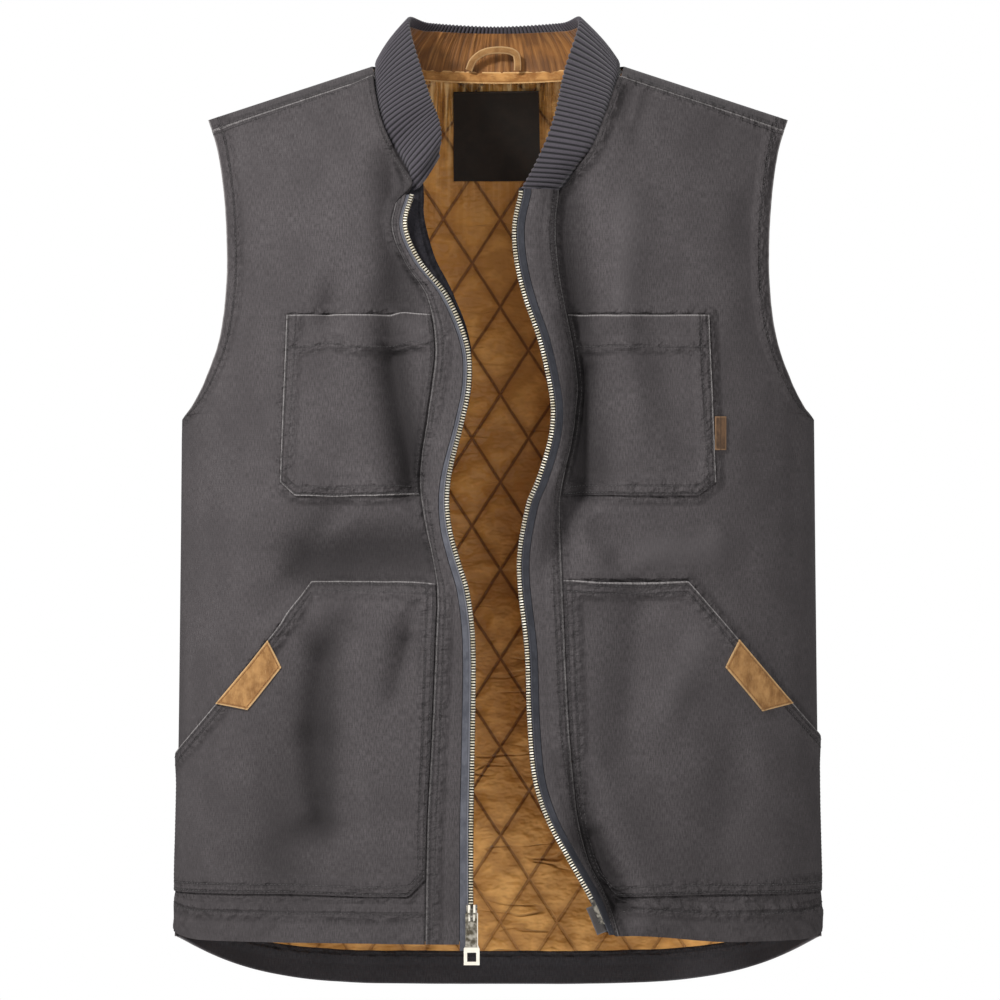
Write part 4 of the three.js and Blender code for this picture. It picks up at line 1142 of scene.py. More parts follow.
# The second and third canvases are darker copies of the first: painted shade, on the tail facing and on the
# front facings
canvas, dark_canvas, shaded_facing_canvas = (
    canvas_material(name, *palette(*colors))
    for name, *colors in (
        ("grey_canvas", (97, 92, 93), (68, 64, 65), (114, 109, 110), (164, 159, 158)),
        ("shaded_canvas", (72, 69, 72), (52, 50, 52), (88, 85, 88), (104, 102, 106)),
        ("shaded_facing_canvas", (48, 46, 51), (34, 33, 37), (62, 60, 66), (84, 82, 90)),
    )
)
quilt = quilt_material()
rib = rib_material()
collar_cloth = gathered_material()
tan = woven_material("tan_trim", *palette((184, 138, 84), (132, 90, 46), (220, 184, 134)), 0.7)
pale_tape = woven_material("pale_tape", *palette((208, 152, 86), (150, 98, 44), (246, 206, 146)), 0.7)
tag_cloth = woven_material("brown_tag", *palette((110, 82, 58), (62, 44, 30), (150, 116, 84)), 0.6)
label_cloth = woven_material("plain_label", *palette((36, 28, 20), (26, 20, 14), (44, 36, 28)), 0.5)
# One tape in two copies: painted light on the right, painted shade on the left
tape_cloth = {
    RIGHT: woven_material("zip_tape_painted_lit", *palette((96, 97, 105), (72, 73, 81), (132, 132, 138)), 0.5),
    LEFT: woven_material("zip_tape_painted_shade", *palette((54, 55, 62), (36, 37, 44), (88, 89, 97)), 0.5),
}
bright_metal = metal_material("pale_brass", *palette((214, 204, 180), (250, 246, 234)))
# The slider and the pull carry painted highlights
aged_metal = {
    "zip_slider": metal_material("brass_painted_strokes", *palette((58, 54, 48), (244, 238, 224)), slider_painted_highlights),
    "zip_pull": metal_material("brass_painted_ring", *palette((84, 78, 66), (244, 238, 224)), ring_painted_highlight),
    "zip_box": metal_material("dark_brass", *palette((58, 54, 48), (150, 142, 124))),
    "zip_pin": metal_material("grey_brass", *palette((72, 70, 68), (170, 164, 152))),
}
film = woven_material("grey_film", *palette((82, 76, 74), (60, 55, 53), (150, 148, 154)), 0.5, Roughness=0.3)
grey_thread = thread_material("grey_thread", *palette((40, 37, 38), (84, 80, 80)))
brown_thread = thread_material("brown_thread", *palette((112, 72, 30), (160, 112, 58)))


# Fronts


def pucker(cloth, lines, reach, height, seed):
    """Small gathers along seams, which only sink into the cloth."""
    away = distance_to(cloth.point, lines)
    x, y, z = (cloth.point[..., k] / PUCKER_SIZE for k in range(3))
    ripple = noise(x + y, z, seed)
    return -height * (0.5 + 0.5 * ripple) * np.exp(-away / reach)


def hem_ripples(cloth, up, seed):
    """Slanting puckers between the hem's fold and the pocket above it."""
    size, fades, across = HEM_RIPPLE, HEM_RIPPLE_FADES, cloth.across()
    ripple = np.abs(noise((across + size["slant"] * up) / size["wide"], up / size["tall"], seed))
    inside = smoothstep(across / fades["placket"]) * smoothstep((across[:, -1:] - across) / fades["side"])
    upright = smoothstep((size["top"] - up) / fades["top"])
    return size["height"] * ripple * inside * smoothstep(up / fades["hem"]) * upright


def front_panel_cloth(side):
    s, t = spread(FRONT_LENGTHS["across"], CELL), spread(FRONT_LENGTHS["up"], CELL)
    level = -SHOULDER_SEAM_DROP
    tip = ridge_height(SHOULDER_TIP_X) - SHOULDER_SEAM_DROP
    inner = angle_of(panel_edge_x(side, level), level)
    x_top = section_x(lerp(inner, outer_angle(tip), s), level)
    inner_rise = HEM_RISE[side] * smoothstep(1 - s / HEM_RISE["reach"])
    side_rise = HEM_RISE["side"] * smoothstep(1 - (1 - s) / HEM_RISE["reach"])
    z = lerp(HEM_Z + inner_rise + side_rise, ridge_height(x_top) - SHOULDER_SEAM_DROP, t[:, None])
    z_in, z_out = z[:, :1], z[:, -1:]
    angle = lerp(angle_of(panel_edge_x(side, z_in) + GAP / 2, z_in), outer_angle(z_out), s)
    return form_cloth(FRONT, side * angle, z)


def front_panel(side, stitches):
    cloth = front_panel_cloth(side)
    name = SIDES[side]
    z = cloth.point[..., 2]
    above = np.flatnonzero(z[:, -1] > UNDERARM_Z)
    bare = np.flatnonzero(z[:, 0] > ZIP_TOP_Z + 4)

    def rows(face):
        yield face.inset("bottom", HEM_ROW)
        yield face.inset("right", ARMHOLE_ROW).part(above)
        yield face.inset("top", SHOULDER_ROW)
        yield face.inset("left", NECK_ROW).part(bare)

    seams = [line.point for line in rows(cloth)]
    up = climb(cloth.point)
    turned = 0.6 * smoothstep((HEM_ROW + 1 - up) / 3)
    corner = smoothstep((z - NECKLINES[side]["z"][0] + 2) / 6) * smoothstep(1 - cloth.across() / 25)
    gathers = pucker(cloth, seams[1:2], reach=9, height=1.0, seed=21 + side)
    outer = turned + 1.8 * corner * (side == RIGHT) + gathers + hem_ripples(cloth, up, seed=23 + side)
    for line in rows(cloth.raised(outer)):
        stitches.row(line, 0.1, (3, 3))
    chest, hand = chest_pocket_cloth(side).point, hand_pocket_cloth(side).point
    outlines = [chest[0], chest[-1], chest[:, -1], hand[0], hand[-1], seams[0]]
    return sewn(
        (f"canvas_front_{name}", "canvas", f"front_panel_{name}"),
        cloth,
        (outer, -CANVAS),
        canvas,
        edges=[cloth.point[above, -1], cloth.point[-1]],
        seams=seams + [cloth.point[:, 0]],
        # Painted shadow just outside the pockets' outlines and along the hem row
        painted_shadow_distance=np.maximum(distance_to(cloth.point, outlines) - POCKET_SHADE, 0),
        fold=fold_shade(cloth),
    )


def quilt_depth(u, v):
    """Thickness of the quilted lining at a place on it."""
    p = (u - QUILT_U) / QUILT_WIDTH + (v - QUILT_V) / QUILT_HEIGHT
    q = (u - QUILT_U) / QUILT_WIDTH - (v - QUILT_V) / QUILT_HEIGHT
    puff = np.sqrt(np.abs(np.sin(math.pi * p) * np.sin(math.pi * q)))
    wide, narrow = noise(u / 17, v / 6, seed=31), noise(u / 9, v / 11, seed=32)
    creased = 1 - 0.16 * np.abs(wide) - 0.12 * np.abs(narrow)
    return lerp(LINING_AT_STITCH, LINING_AT_PUFF, puff * creased)


def front_lining(side):
    name = SIDES[side]
    whole = front_panel_cloth(side)
    rows = np.flatnonzero(whole.point[:, 0, 2] > HEM_Z + HEM_TURN)[::-2][::-1]
    columns = np.flatnonzero(whole.across().mean(axis=0) > FACING_UNDERLAP + 1)[::-2][::-1]
    cloth = whole.part(np.ix_(rows, columns))
    place = cloth_place(cloth)
    inner = LINING_OUTER - quilt_depth(place[..., 0] / MM, place[..., 1] / MM)
    made = shell(f"quilt_front_{name}", cloth, LINING_OUTER, inner, quilt, cloth=place)
    ride(made, f"front_lining_{name}")
    declare_sheet(made, "front_lining")


# Pockets


def chest_pocket_cloth(side):
    size = CHEST_POCKET
    s, t = spread(125, FINE_CELL), spread(145, FINE_CELL)
    middle = lerp(seam_x[side](size["middle"]), chest_outer_x(size["middle"]), s)
    cut = np.clip((middle - size["cut_x"]) / (chest_outer_x(size["cut_z"]) - size["cut_x"]), 0, 1)
    low = lerp(size["bottom"], size["cut_z"], cut)
    z = lerp(low, size["top"], t[:, None])
    return front_cloth(side, lerp(seam_x[side](z) + GAP, chest_outer_x(z), s), z)


def hand_pocket_cloth(side):
    size, mouth, step = HAND_POCKET, POCKET_MOUTH[side], HAND_POCKET_CELL
    line, end = mouth["corner_x"], half_width(mouth["end"])
    inner_angle = angle_of(seam_x[side](size["middle"]), size["middle"])
    line_angle = angle_of(line, mouth["top"])
    flat = lerp(inner_angle, line_angle, spread(100, step))
    slant = lerp(line_angle, SIDE_SEAM_ANGLE, spread(185, step))
    angles = np.concatenate((flat, slant[1:]))
    x = section_x(angles, size["middle"])
    top = lerp(mouth["top"], mouth["end"], np.maximum(x - line, 0) / (end - line))
    near = np.clip((x - x[0]) / size["cut"], 0, 1)
    low = lerp(size["bottom"] + size["cut"], size["bottom"], near)
    z = lerp(low, top, spread(250, step)[:, None])
    start = angle_of(seam_x[side](z) + GAP, z)
    share = np.clip((line_angle - angles) / (line_angle - inner_angle), 0, 1)
    return form_cloth(FRONT, side * (angles + (start - inner_angle) * share), z)


def pocket(kind, side, stitches):
    """A patch pocket: sewn down at its edges, a little full in the middle and at its mouth."""
    size, name = POCKETS[kind], SIDES[side]
    cloth = chest_pocket_cloth(side) if kind == "chest" else hand_pocket_cloth(side)
    across, up = cloth.across(), climb(cloth.point)
    from_side = np.minimum(across, across[:, -1:] - across)
    uneven = 0.7 + 0.3 * noise(across / 30, up / 38, seed=41)
    full = smoothstep(np.minimum(from_side, up) / POCKET_FADES["edge"]) * uneven
    mouth = smoothstep(1 - (up[-1:] - up) / POCKET_FADES["mouth"])
    mouth = mouth * smoothstep(from_side / POCKET_FADES["mouth_side"])
    pressed = smoothstep(1 - (across[:, -1:] - across) / POCKET_FADES["pressed"])
    thin = 1 - size["pressed"] * pressed
    low = (GAP + size["full"] * full + size["open"] * mouth) * thin
    face = low + (CANVAS + pucker(cloth, cloth.border(), reach=7, height=0.5, seed=43)) * thin
    seams = [cloth.inset(edge, distance).point for edge, distance, _ in size["rows"]]
    made = sewn(
        (f"{kind}_patch_{name}", "canvas", f"{kind}_pocket_{name}"),
        cloth,
        (face, low),
        canvas,
        edges=[cloth.inset(edge, 0.0).point for edge in size["rubbed"][side]],
        seams=seams + [cloth.point[:, 0]],
        fold=fold_shade(cloth),
    )
    lifted = cloth.raised(face + 0.05)
    for edge, distance, ends in size["rows"]:
        stitches.row(lifted.inset(edge, distance), SIDE_ROW_LIFT if distance in SIDE_ROWS else 0.0, ends)
    return made


def pocket_patch(side, threads):
    """Tan patch folded over the middle of the slanted mouth."""
    size, mouth = POCKET_PATCH, POCKET_MOUTH[side]
    first, last = mouth["patch"]
    start = np.array((mouth["corner_x"], mouth["top"]))
    end = np.array((half_width(mouth["end"]), mouth["end"]))
    slant = end - start
    inwards = unit(np.array((slant[1], -slant[0])))
    s, t = np.meshgrid(spread(74, 2.4), spread(size["depth"], 2.0))
    along = lerp(first + size["taper"] * t, last - size["taper"] * t, s)
    place = start + slant * along[..., None] + inwards * (size["inset"] + size["depth"] * t)[..., None]
    cloth = front_cloth(side, place[..., 0], place[..., 1])
    low = GAP + CANVAS + size["gap"] + 1.5 * smoothstep(1 - t * 1.2)
    name = SIDES[side]
    made = sewn(
        (f"mouth_patch_{name}", "tan_trim", f"pocket_patch_{name}"),
        cloth,
        (low + CANVAS, low),
        tan,
        edges=cloth.border(),
        seams=[cloth.inset(edge, PATCH_ROW).point for edge in EDGES],
    )
    lifted = cloth.raised(low + CANVAS)
    for edge in EDGES:
        threads.row(lifted.inset(edge, PATCH_ROW), 0.0, ROW_ENDS, PATCH_PITCH)
    declare_sheet(made, "patch")


def pocket_tag():
    size = POCKET_TAG
    s, t = np.meshgrid(spread(size["width"], 1.2), spread(size["height"], 1.6))
    x = chest_outer_x(size["z"]) + 2 * GAP + size["width"] * s
    cloth = front_cloth(LEFT, x, size["z"] + size["height"] * (t - 0.5))
    folded = 0.5 * np.sqrt(np.clip(1 - (2 * s - 1) ** 2, 0, 1))
    return sewn(
        ("folded_tag", "tan_trim", "pocket_tag"),
        cloth,
        (size["gap"] + 0.7 + folded, size["gap"]),
        tag_cloth,
        edges=cloth.border(),
        seams=[cloth.inset("left", size["width"] / 2).point],
    )


# Front edges: placket, tape, teeth and facing


def edge_strip(side, near, far, wide, low):
    high = EDGE_TOP_Z[side]
    z = np.linspace(low, high, round((high - low) / CELL) + 1)[:, None]
    s = spread(wide, FINE_CELL) if wide > 12 else np.linspace(0, 1, 5)
    return front_cloth(side, lerp(near(z), far(z), s), z)


def tape_near(side):
    return lambda z: teeth_x[side](z) + ZIP_STRIP["teeth"] + GAP


def tape_far(side):
    """The tape's sewn edge, which leaves at least a third of the way to the seam to the placket."""
    wide = profile(TAPE_WIDTHS[side], "z", "wide")
    return lambda z: teeth_x[side](z) + np.minimum(wide(z), 0.64 * (seam_x[side](z) - teeth_x[side](z)))


def placket(side, stitches):
    name = SIDES[side]
    near = lambda z: tape_far(side)(z) + GAP
    far = lambda z: seam_x[side](z) - GAP / 2
    cloth = edge_strip(side, near, far, 30, HEM_Z + HEM_RISE[side])
    lines = [cloth.inset("right", distance).point for distance in PLACKET_ROWS]
    across = cloth.across()
    share = across / across[:, -1:]
    rounded = np.sin(math.pi * share) * (0.6 + 0.4 * noise(share * 2, cloth.point[..., 2] / 28, seed=51))
    outer = 0.5 + 0.9 * rounded + pucker(cloth, lines, reach=5, height=0.7, seed=52 + side)
    made = sewn(
        (f"canvas_placket_{name}", "canvas", f"zip_placket_{name}"),
        cloth,
        (outer, -CANVAS),
        canvas,
        edges=[cloth.inset("right", 0.9).point],
        seams=lines + [cloth.point[:, -1]],
        edge_gap=0.4,
        fold=PLACKET_PAINTED_FOLD_SHADE[side] * fold_shade(cloth),
    )
    lifted = cloth.raised(outer)
    for distance in PLACKET_ROWS:
        stitches.row(lifted.inset("right", distance), 0.02, ROW_ENDS)
    return made


def zip_tape(side):
    name = SIDES[side]
    cloth = edge_strip(side, tape_near(side), tape_far(side), 3, ZIP_STRIP["ends"][side])
    return sewn(
        (f"woven_tape_{name}", "zip_tape", f"zip_tape_{name}"),
        cloth,
        (0.0, -1.0),
        tape_cloth[side],
        edges=[cloth.point[:, 0]],
        seams=[cloth.inset("left", 1.3).point],
        cloth=strip_place(cloth),
    )


def zip_film():
    """Stiff film that backs the end of the left tape, cut square across it."""
    size = ZIP_FILM
    low, high = size["bottom"], size["top"]
    w, z = np.meshgrid(np.linspace(size["inner"], size["outer"], 9), np.linspace(low, high, 15))
    slope = (teeth_x[LEFT](high) - teeth_x[LEFT](low)) / (high - low)
    square = unit(np.array((1.0, -slope)))
    cloth = front_cloth(LEFT, teeth_x[LEFT](z) + w * square[0], z + w * square[1])
    values = {"cloth": strip_place(cloth), "edge": distance_to(cloth.point, cloth.border())}
    return ride(shell("tape_end_film", cloth, size["front"], size["back"], film, **values))


def zip_teeth(side, end):
    """A row of separate teeth along the edge, each a small block with a rounded front."""
    name = SIDES[side]
    z = np.arange(end, EDGE_TOP_Z[side], 0.5)
    line = front_cloth(side, teeth_x[side](z), z)
    places = np.arange(TOOTH["pitch"] / 2, arc_lengths(line.point)[-1], TOOTH["pitch"])
    centre, along, out, across = frames_along(line, 0.0, places, 1)
    front, back = ZIP_STRIP["front"], ZIP_STRIP["back"]
    rings = ((back, 1.0, 1.0), (front - 0.5, 1.0, 1.0), (front, 0.7, 0.6))
    corners = []
    for lift, wide, tall in rings:
        sideways, lengthways = across * (TOOTH["across"] / 2 * wide), along * (TOOTH["along"] / 2 * tall)
        for a, b in ((-1, -1), (1, -1), (1, 1), (-1, 1)):
            corners.append(centre + out * lift + a * sideways + b * lengthways)
    points = np.stack(corners, axis=1)
    sides, ends = block_faces(len(rings), 4)
    block = np.array(ends + sides)
    if signed_volume(points[0], block) < 0:
        block = block[:, ::-1]
    faces = np.concatenate([block + len(corners) * k for k in range(len(points))])
    made = make_object(f"brass_teeth_{name}", points.reshape(-1, 3), faces, bright_metal, sharp=35)
    return ride(made, f"zip_teeth_{name}")


def front_facing(side):
    """Canvas facing behind the zip. At the top of the right edge it rolls into view past the teeth."""
    name = SIDES[side]
    rolled, flat = spread(30, 2.4), spread(45, 3.2)[1:]
    near_top = FACING_TOP_Z["near"] if side == RIGHT else FACING_TOP_Z["turn"]
    turned = np.concatenate((rolled, np.ones_like(flat)))
    top = lerp(near_top, FACING_TOP_Z["turn"], turned)
    z = lerp(HEM_Z + HEM_RISE[side] + FACING_HEM, top, np.linspace(0, 1, 190)[:, None])
    reach = facing_reach(z) if side == RIGHT else np.zeros_like(z)
    near = teeth_x[side](z) - ZIP_STRIP["teeth"] - reach
    turn = tape_far(side)(z) + GAP
    far = seam_x[side](z) + GAP / 2 + FACING_UNDERLAP
    x = lerp(near, turn, turned) + (far - turn) * np.concatenate((np.zeros_like(rolled), flat))
    cloth = front_cloth(side, x, z)
    outer = LINING_OUTER - FACING_ROLL_DEPTH * reach * (1 - turned)
    made = sewn(
        (f"canvas_facing_{name}", "canvas", f"front_facing_{name}"),
        cloth,
        (outer, outer - CANVAS),
        shaded_facing_canvas,
        edges=[cloth.point[:, 0]],
        seams=[cloth.inset("left", FACING_ROW).point],
        edge_gap=1.2,
    )
    declare_sheet(made, "facing")


# Back


def back_stations(step):
    tip = ridge_height(SHOULDER_TIP_X)
    neck = float(angle_of(NECK_POINT_X, 0.0) / angle_of(SHOULDER_TIP_X, tip))
    length = BACK_LENGTHS
    cells = lambda part: round(length[part] / step) + 1
    side = spread(length["side"], step)
    middle = np.linspace(-neck, neck, cells("middle"))
    across = np.concatenate((lerp(-1, -neck, side), middle[1:-1], lerp(neck, 1, side)))
    top = 2 + SEAM_ROLL - SHOULDER_SEAM_GAP
    tail = lerp(-1, 0, spread(length["tail"], step))
    body = np.linspace(0, 1, cells("body"))[1:]
    over = np.linspace(1, 2, cells("over"))[1:]
    front = lerp(2, top, spread(length["front"], step))[1:]
    return across, np.concatenate((tail, body, over, front)), neck


def kept_cells(s, t, neck):
    """Cells of the back, without those in the neck opening."""
    middle = np.abs(s[:-1] + s[1:]) / 2 < neck
    return ~((t[:-1] >= 2 - 1e-6)[:, None] & middle[None, :])


def back_panel(stitches):
    s, t, neck = back_stations(BACK_CELL)
    cloth = back_cloth(s, t)
    armhole_rows = np.flatnonzero(cloth.point[:, -1, 2] > UNDERARM_Z)
    side_rows = np.flatnonzero((cloth.point[:, -1, 2] <= UNDERARM_Z) & (t > -0.9))
    rows = [cloth.inset("bottom", TAIL_ROW)]
    for edge in ("left", "right"):
        rows.append(cloth.inset(edge, ARMHOLE_ROW).part(armhole_rows))
        rows += [cloth.inset(edge, distance).part(side_rows) for distance in SIDE_ROWS]
    over = cloth.inset("top", EDGE_ROW)
    for chosen in (s < -neck - 0.01, s > neck + 0.01):
        rows.append(over.part(np.flatnonzero(chosen)))
    for line in rows:
        stitches.row(line, 0.05, ROW_ENDS)
    lines = [line.point for line in rows]
    shoulder = [cloth.point[-1][s < -neck], cloth.point[-1][s > neck]]
    return sewn(
        ("canvas_back", "canvas", "back_panel"),
        cloth,
        (pucker(cloth, lines[:1], reach=9, height=1.0, seed=61), -CANVAS),
        canvas,
        edges=[cloth.point[0], cloth.point[armhole_rows, 0], cloth.point[armhole_rows, -1]] + shoulder,
        seams=lines,
        keep=kept_cells(s, t, neck),
        fold=fold_shade(cloth),
    )


def back_lining():
    s, t, neck = back_stations(BACK_LINING_CELL)
    t = t[t >= 0]
    cloth = back_cloth(s, t)
    place = strip_place(cloth, len(s) // 2)
    level = np.searchsorted(t, 1.0)
    place[level:, :, 1] = place[level, :, 1] + climb(cloth.point[level:]) * MM
    u, v = place[..., 0] / MM, place[..., 1] / MM
    below_neck = back_neck_z(cloth.point[..., 0]) - cloth.point[..., 2]
    size = NECK_GATHERS
    gathers = np.exp(-np.maximum(below_neck - size["below"], 0) / size["fade"])
    gathers = gathers * smoothstep((NECK_POINT_X + size["past"] - np.abs(u)) / size["fade"])
    thick = quilt_depth(u, v) - size["depth"] * gathers * np.abs(noise(u / 5.5, v / 60, seed=71))
    inner = LINING_OUTER - np.clip(thick, size["least"], LINING_AT_PUFF)
    kept = kept_cells(s, t, neck)
    made = shell("quilt_back", cloth, LINING_OUTER, inner, quilt, keep=kept, cloth=place, gather=gathers)
    ride(made, "back_lining")
    declare_sheet(made, "back_lining")


def tail_facing():
    s, _, _ = back_stations(TAIL_FACING_CELL)
    cloth = back_cloth(s, lerp(-1, -0.03, spread(28, 3.0)))
    row = [cloth.inset("top", TAIL_FACING_ROW).point]
    inner = LINING_OUTER - CANVAS + pucker(cloth, row, reach=8, height=-0.6, seed=63)
    made = sewn(
        ("canvas_tail_facing", "canvas", "tail_facing"),
        cloth,
        (LINING_OUTER, inner),
        dark_canvas,
        edges=[cloth.point[0]],
        seams=row,
    )
    declare_sheet(made, "tail_facing")


# Collar and neck


def through(points, shares):
    """Points at shares of the length of a smooth curve through some points."""
    knots = np.concatenate(([0], np.cumsum(np.sqrt(np.linalg.norm(np.diff(points, axis=0), axis=1)))))
    curves = [profile({"t": knots, "v": points[:, k]}, "t", "v") for k in range(3)]
    fine = np.stack([curve(np.linspace(0, knots[-1], 4000)) for curve in curves], axis=-1)
    lengths = arc_lengths(fine)
    return along_line(fine, lengths, shares * lengths[-1])


def neck_seam(along):
    halves = {}
    for side in SIDES:
        levels = np.array(NECK_SEAM_LEVELS[side], float)
        halves[side] = front_cloth(side, neckline_x[side](levels), levels).point
    x = np.linspace(2 - NECK_POINT_X, NECK_POINT_X - 2, 11)
    back = back_spot(x, back_neck_z(x)).point
    return through(np.concatenate((halves[RIGHT], back, halves[LEFT][::-1])), along)


def collar_frame(along):
    """Seam, top edge, way out and way up of the collar at stations along it."""
    seam = neck_seam(along)
    top = np.stack([profile(COLLAR_TOP, "along", axis)(along) for axis in "xyz"], axis=-1)
    up = unit(top - seam)
    ahead = np.gradient(lerp(seam, top, 0.5), axis=0)
    return seam, top, unit(np.cross(up, ahead)), up


def collar_middle(seam, top, high):
    point = lerp(seam, top, high)
    level = point * np.array((1, 1, 0))
    return point + unit(level) * COLLAR_BULGE * max(math.sin(math.pi * high), 0)


def collar_rib():
    """A doubled band of rib knit with a rounded top edge."""
    along = np.linspace(0, 1, COLLAR_RIBS * STEPS_PER_RIB + 1)
    seam, top, out, up = collar_frame(along)
    ridge = (0.5 + 0.5 * np.cos(2 * math.pi * COLLAR_RIBS * along)) ** 0.7
    curl = COLLAR_CURL["depth"] * np.clip(1 - along / COLLAR_CURL["along"], 0, 1)[:, None] ** 1.3
    bulge = COLLAR_END_BULGE["reach"] * smoothstep(1 - along / COLLAR_END_BULGE["along"])[:, None]
    ahead = unit(np.gradient(lerp(seam, top, 0.5), axis=0))
    heights = np.linspace(COLLAR_START, COLLAR_HIGH, COLLAR_ROWS)
    middle, radius = (COLLAR_OUTER + COLLAR_INNER) / 2, (COLLAR_OUTER - COLLAR_INNER) / 2
    stations = [(high, COLLAR_OUTER, 0.0, 1.0, 0.0) for high in heights]
    for turn in np.linspace(0, math.pi, 8)[1:-1]:
        across, above = math.cos(turn), math.sin(turn)
        stations.append((COLLAR_HIGH, middle + radius * across, radius * above, across, above))
    stations += [(high, COLLAR_INNER, 0.0, -1.0, 0.0) for high in heights[::-1][::2]]
    rings, ribs = [], []
    for high, offset, above, away, rising in stations:
        sunk = COLLAR_SUNK * float(smoothstep(1 - high / 0.1))
        fade = float(smoothstep((high - COLLAR_START) / 0.12))
        relief = (RIB_DEPTH * fade * (ridge - 0.5))[:, None]
        point = collar_middle(seam, top, high) + out * (offset - sunk - curl) + up * above
        forward = ahead * bulge * math.sin(math.pi * np.clip(high, 0, 1))
        rings.append(point + relief * (out * away + up * rising) - forward)
        ribs.append(ridge * fade)
    points = np.stack(rings)
    index = np.arange(points[..., 0].size).reshape(points.shape[:2])
    after = np.roll(index, -1, axis=0)
    quads = np.stack((index[:, :-1], index[:, 1:], after[:, 1:], after[:, :-1]), axis=-1)
    values = {"cloth": flat_place(arc_lengths(seam), climb(points)), "rib": np.stack(ribs)}
    made = tube("knit_collar", points, quads, (index[:, 0], index[::-1, -1]), rib, 70, **values)
    ride(made, "collar_rib")


def collar_facing():
    size = COLLAR_FACING
    along = np.linspace(size["start"], size["end"], 260)
    whole = np.linspace(0, 1, COLLAR_SAMPLES + 1)
    seam, top, out, _ = (along_line(part, whole, along) for part in collar_frame(whole))
    heights = np.linspace(size["low"], size["high"], 16)
    point = np.stack([collar_middle(seam, top, high) for high in heights])
    cloth = Lattice(point, np.broadcast_to(out, point.shape))
    u, v = np.broadcast_arrays(arc_lengths(point[len(heights) // 2]), heights[:, None])
    gathers = noise(u / 3.4, v * 0.8, seed=81) + 0.6 * noise(u / 9, v, seed=82)
    inner = size["outer"] - CANVAS - 0.55 * (gathers + 1.0)
    place = flat_place(u, v * 50)
    made = shell("gathered_collar_lining", cloth, size["outer"], inner, collar_cloth, cloth=place)
    ride(made, "collar_facing")
    declare_sheet(made, "collar_facing")


def neck_tape():
    """A gathered tape over the inside of the back neck seam."""
    size = NECK_TAPE
    whole = np.linspace(0, 1, COLLAR_SAMPLES + 1)
    along = np.linspace(size["start"], size["end"], 150)
    nearest = np.round(along * COLLAR_SAMPLES).astype(int)
    seam, _, out, _ = (part[nearest] for part in collar_frame(whole))
    inwards = -unit(out * np.array((1, 1, 0)))
    t = spread(size["height"], 1.1)[:, None, None]
    fall = np.array((0, 0, 1.0)) * lerp(size["top"] - size["height"], size["top"], t)
    cloth = Lattice(seam + inwards * (size["inset"] + size["lean"] * (1 - t)) + fall, inwards + 0 * t)
    across = cloth.across()
    gathered = noise(across / 3.4, t[..., 0] * 1.3 + 0 * across, seed=83)
    outer = size["thick"] * (0.4 + 0.6 * np.sin(math.pi * t[..., 0])) + 0.75 * gathered
    made = sewn(
        ("plain_neck_tape", "tan_trim", "neck_tape"),
        cloth,
        (outer, -0.6),
        pale_tape,
        edges=[cloth.point[0], cloth.point[-1]],
        seams=[cloth.inset("bottom", EDGE_ROW).point],
        cloth=flat_place(cloth.point[..., 2], across),
    )
    declare_sheet(made, "neck_tape")


def neck_label():
    size = NECK_LABEL
    s, t = np.meshgrid(spread(size["width"], FINE_CELL), spread(size["height"], FINE_CELL))
    across, down = size["width"] * (s - 0.5), size["height"] * (t - 1)
    x = size["x"] + across - size["tilt"] * down
    cloth = back_spot(x, size["top"] + down + size["tilt"] * across)
    bowed = 0.5 * noise(s * 2, t * 2, seed=84)
    made = sewn(
        ("plain_label_patch", "label", "neck_label"),
        cloth,
        (ON_LINING - 0.1, ON_LINING - size["thick"] - 0.5 - bowed),
        label_cloth,
        edges=cloth.border(),
        seams=[cloth.inset(edge, LABEL_ROW).point for edge in EDGES],
    )
    declare_sheet(made, "label")


def hanger_loop():
    """A strap with rolled edges bent into an arch."""
    count, around = 60, 14
    half, thick = HANGER_LOOP_STRAP["width"] / 2, HANGER_LOOP_STRAP["thick"]
    x, z = HANGER_LOOP["x"], HANGER_LOOP["z"]
    line = through(np.stack((x, np.full_like(x, HANGER_LOOP_Y), z), axis=-1), np.linspace(0, 1, count))
    face = np.array((0.0, 1.0, 0.0))
    across = unit(np.cross(unit(np.gradient(line, axis=0)), face))
    turn = np.linspace(0, 2 * math.pi, around, endpoint=False)
    wide = half * np.sign(np.cos(turn)) * np.abs(np.cos(turn)) ** 0.6
    deep = thick / 2 * np.sin(turn) * (0.75 + 0.5 * np.cos(turn) ** 2)
    points = line[:, None] + across[:, None] * wide[None, :, None] + face * deep[None, :, None]
    index = np.arange(count * around).reshape(count, around)
    after = np.roll(index, -1, axis=1)
    quads = np.stack((index[:-1], after[:-1], after[1:], index[1:]), axis=-1)
    values = {
        "cloth": flat_place(wide, arc_lengths(line)[:, None]),
        "edge": np.broadcast_to(half - np.abs(wide), index.shape),
        "seam": np.full(index.shape, 9.0),
    }
    made = tube("loop_strap", points, quads, (index[0, ::-1], index[-1]), tan, 80, **values)
    ride(made, "hanger_loop")


# Zip hardware: the solids themselves, with rounded edges and a metal finish


def zip_hardware():
    for node, metal in aged_metal.items():
        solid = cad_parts[node]
        solid.data.materials.clear()
        solid.data.materials.append(metal)
        rounded = solid.modifiers.new("rounded", "BEVEL")
        rounded.width = HARDWARE_BEVEL * MM
        rounded.segments = 3
        rounded.limit_method = "ANGLE"


# Stage, light and camera


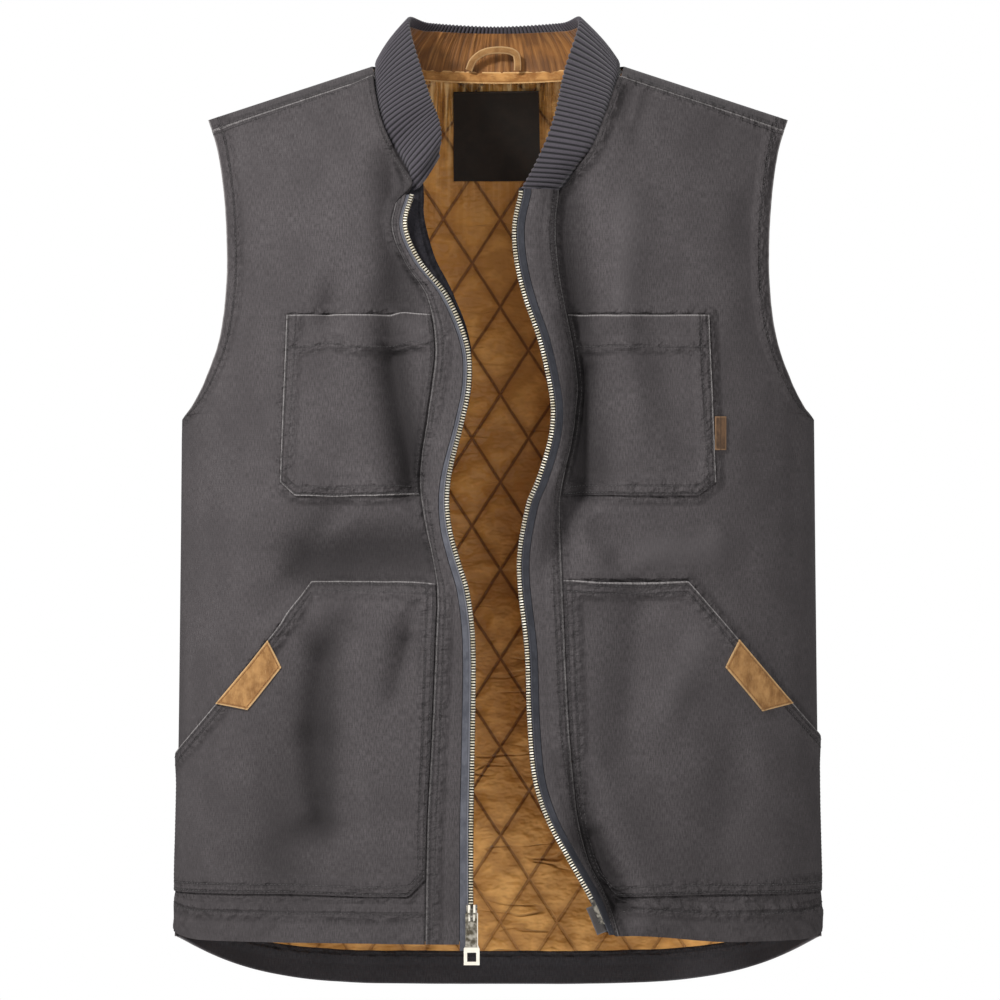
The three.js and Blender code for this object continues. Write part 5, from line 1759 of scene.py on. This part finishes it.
def stage():
    half, z = FLOOR["half"], FLOOR["z"]
    mesh = bpy.data.meshes.new("floor")
    corners = [(x * half, y * half, z) for x, y in ((-1, -1), (1, -1), (1, 1), (-1, 1))]
    mesh.from_pydata(corners, [], [(0, 1, 2, 3)])
    mesh.materials.append(floor_material())
    floor = bpy.data.objects.new("floor", mesh)
    bpy.context.scene.collection.objects.link(floor)
    floor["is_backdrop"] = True


def softbox(name, place, size, power):
    lamp = bpy.data.lights.new(name, "AREA")
    lamp.shape = "RECTANGLE"
    lamp.size, lamp.size_y = size
    lamp.energy = power
    made = bpy.data.objects.new(name, lamp)
    made.location = place
    away = np.array(place) - np.array(LIT_POINT)
    heading = math.atan2(away[0], -away[1])
    tilt = math.acos(away[2] / np.linalg.norm(away))
    made.rotation_euler = (tilt, 0, heading)
    bpy.context.scene.collection.objects.link(made)


def light():
    world = bpy.data.worlds.new("studio")
    bpy.context.scene.world = world
    world.use_nodes = True
    tree = world.node_tree
    surface = tree.nodes["Background"]
    surface.inputs["Color"].default_value = (1, 1, 1, 1)
    path = tree.nodes.new("ShaderNodeLightPath")
    level = tree.nodes.new("ShaderNodeMapRange")
    level.inputs["To Min"].default_value = SURROUNDINGS["light"]
    level.inputs["To Max"].default_value = SURROUNDINGS["seen"]
    tree.links.new(path.outputs["Is Camera Ray"], level.inputs["Value"])
    tree.links.new(level.outputs[0], surface.inputs["Strength"])
    for name, (place, size, power) in LAMPS.items():
        softbox(name, place, size, power)


def camera():
    lens = bpy.data.cameras.new("camera")
    lens.sensor_width = SENSOR_WIDTH
    lens.lens = SENSOR_WIDTH * CAMERA_DISTANCE / IMAGE_WIDTH
    lens.clip_end = 100
    made = bpy.data.objects.new("camera", lens)
    made.location = [value * MM for value in CAMERA_PLACE]
    made.rotation_euler = (math.pi / 2, 0, 0)
    bpy.context.scene.collection.objects.link(made)
    bpy.context.scene.camera = made
    bpy.context.scene.view_settings.view_transform = "Standard"


def build():
    threads = Stitches()
    for side, name in SIDES.items():
        stitches = Stitches()
        panel = front_panel(side, stitches)
        front_lining(side)
        strip = placket(side, stitches)
        tape, teeth = zip_tape(side), zip_teeth(side, SLIDER_Z if side == RIGHT else PIN_TOP_Z)
        front_facing(side)
        chest, hand = (pocket(kind, side, stitches) for kind in POCKETS)
        pocket_patch(side, threads)
        rows = stitches.finish(f"stitches_front_{name}", grey_thread, "canvas")
        declare_sheet(panel, "front")
        on_strip = [tape, teeth] + ([zip_film()] if side == LEFT else [])
        declare_sheet(strip, "placket")
        on_chest = [pocket_tag()] if side == LEFT else []
        declare_sheet(chest, "chest_pocket")
        declare_sheet(hand, "hand_pocket")
    stitches = Stitches()
    back = back_panel(stitches)
    rows = stitches.finish("stitches_back", grey_thread, "canvas")
    declare_sheet(back, "back")
    back_lining()
    tail_facing()
    collar_rib()
    collar_facing()
    neck_tape()
    neck_label()
    hanger_loop()
    threads.finish("stitches_trim", brown_thread, "tan_trim")
    zip_hardware()


build()
stage()
light()
camera()
boxes = {"cad": CAD_BOX, "visual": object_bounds()}
{name: [[float(v) for v in corner] for corner in box] for name, box in boxes.items()}
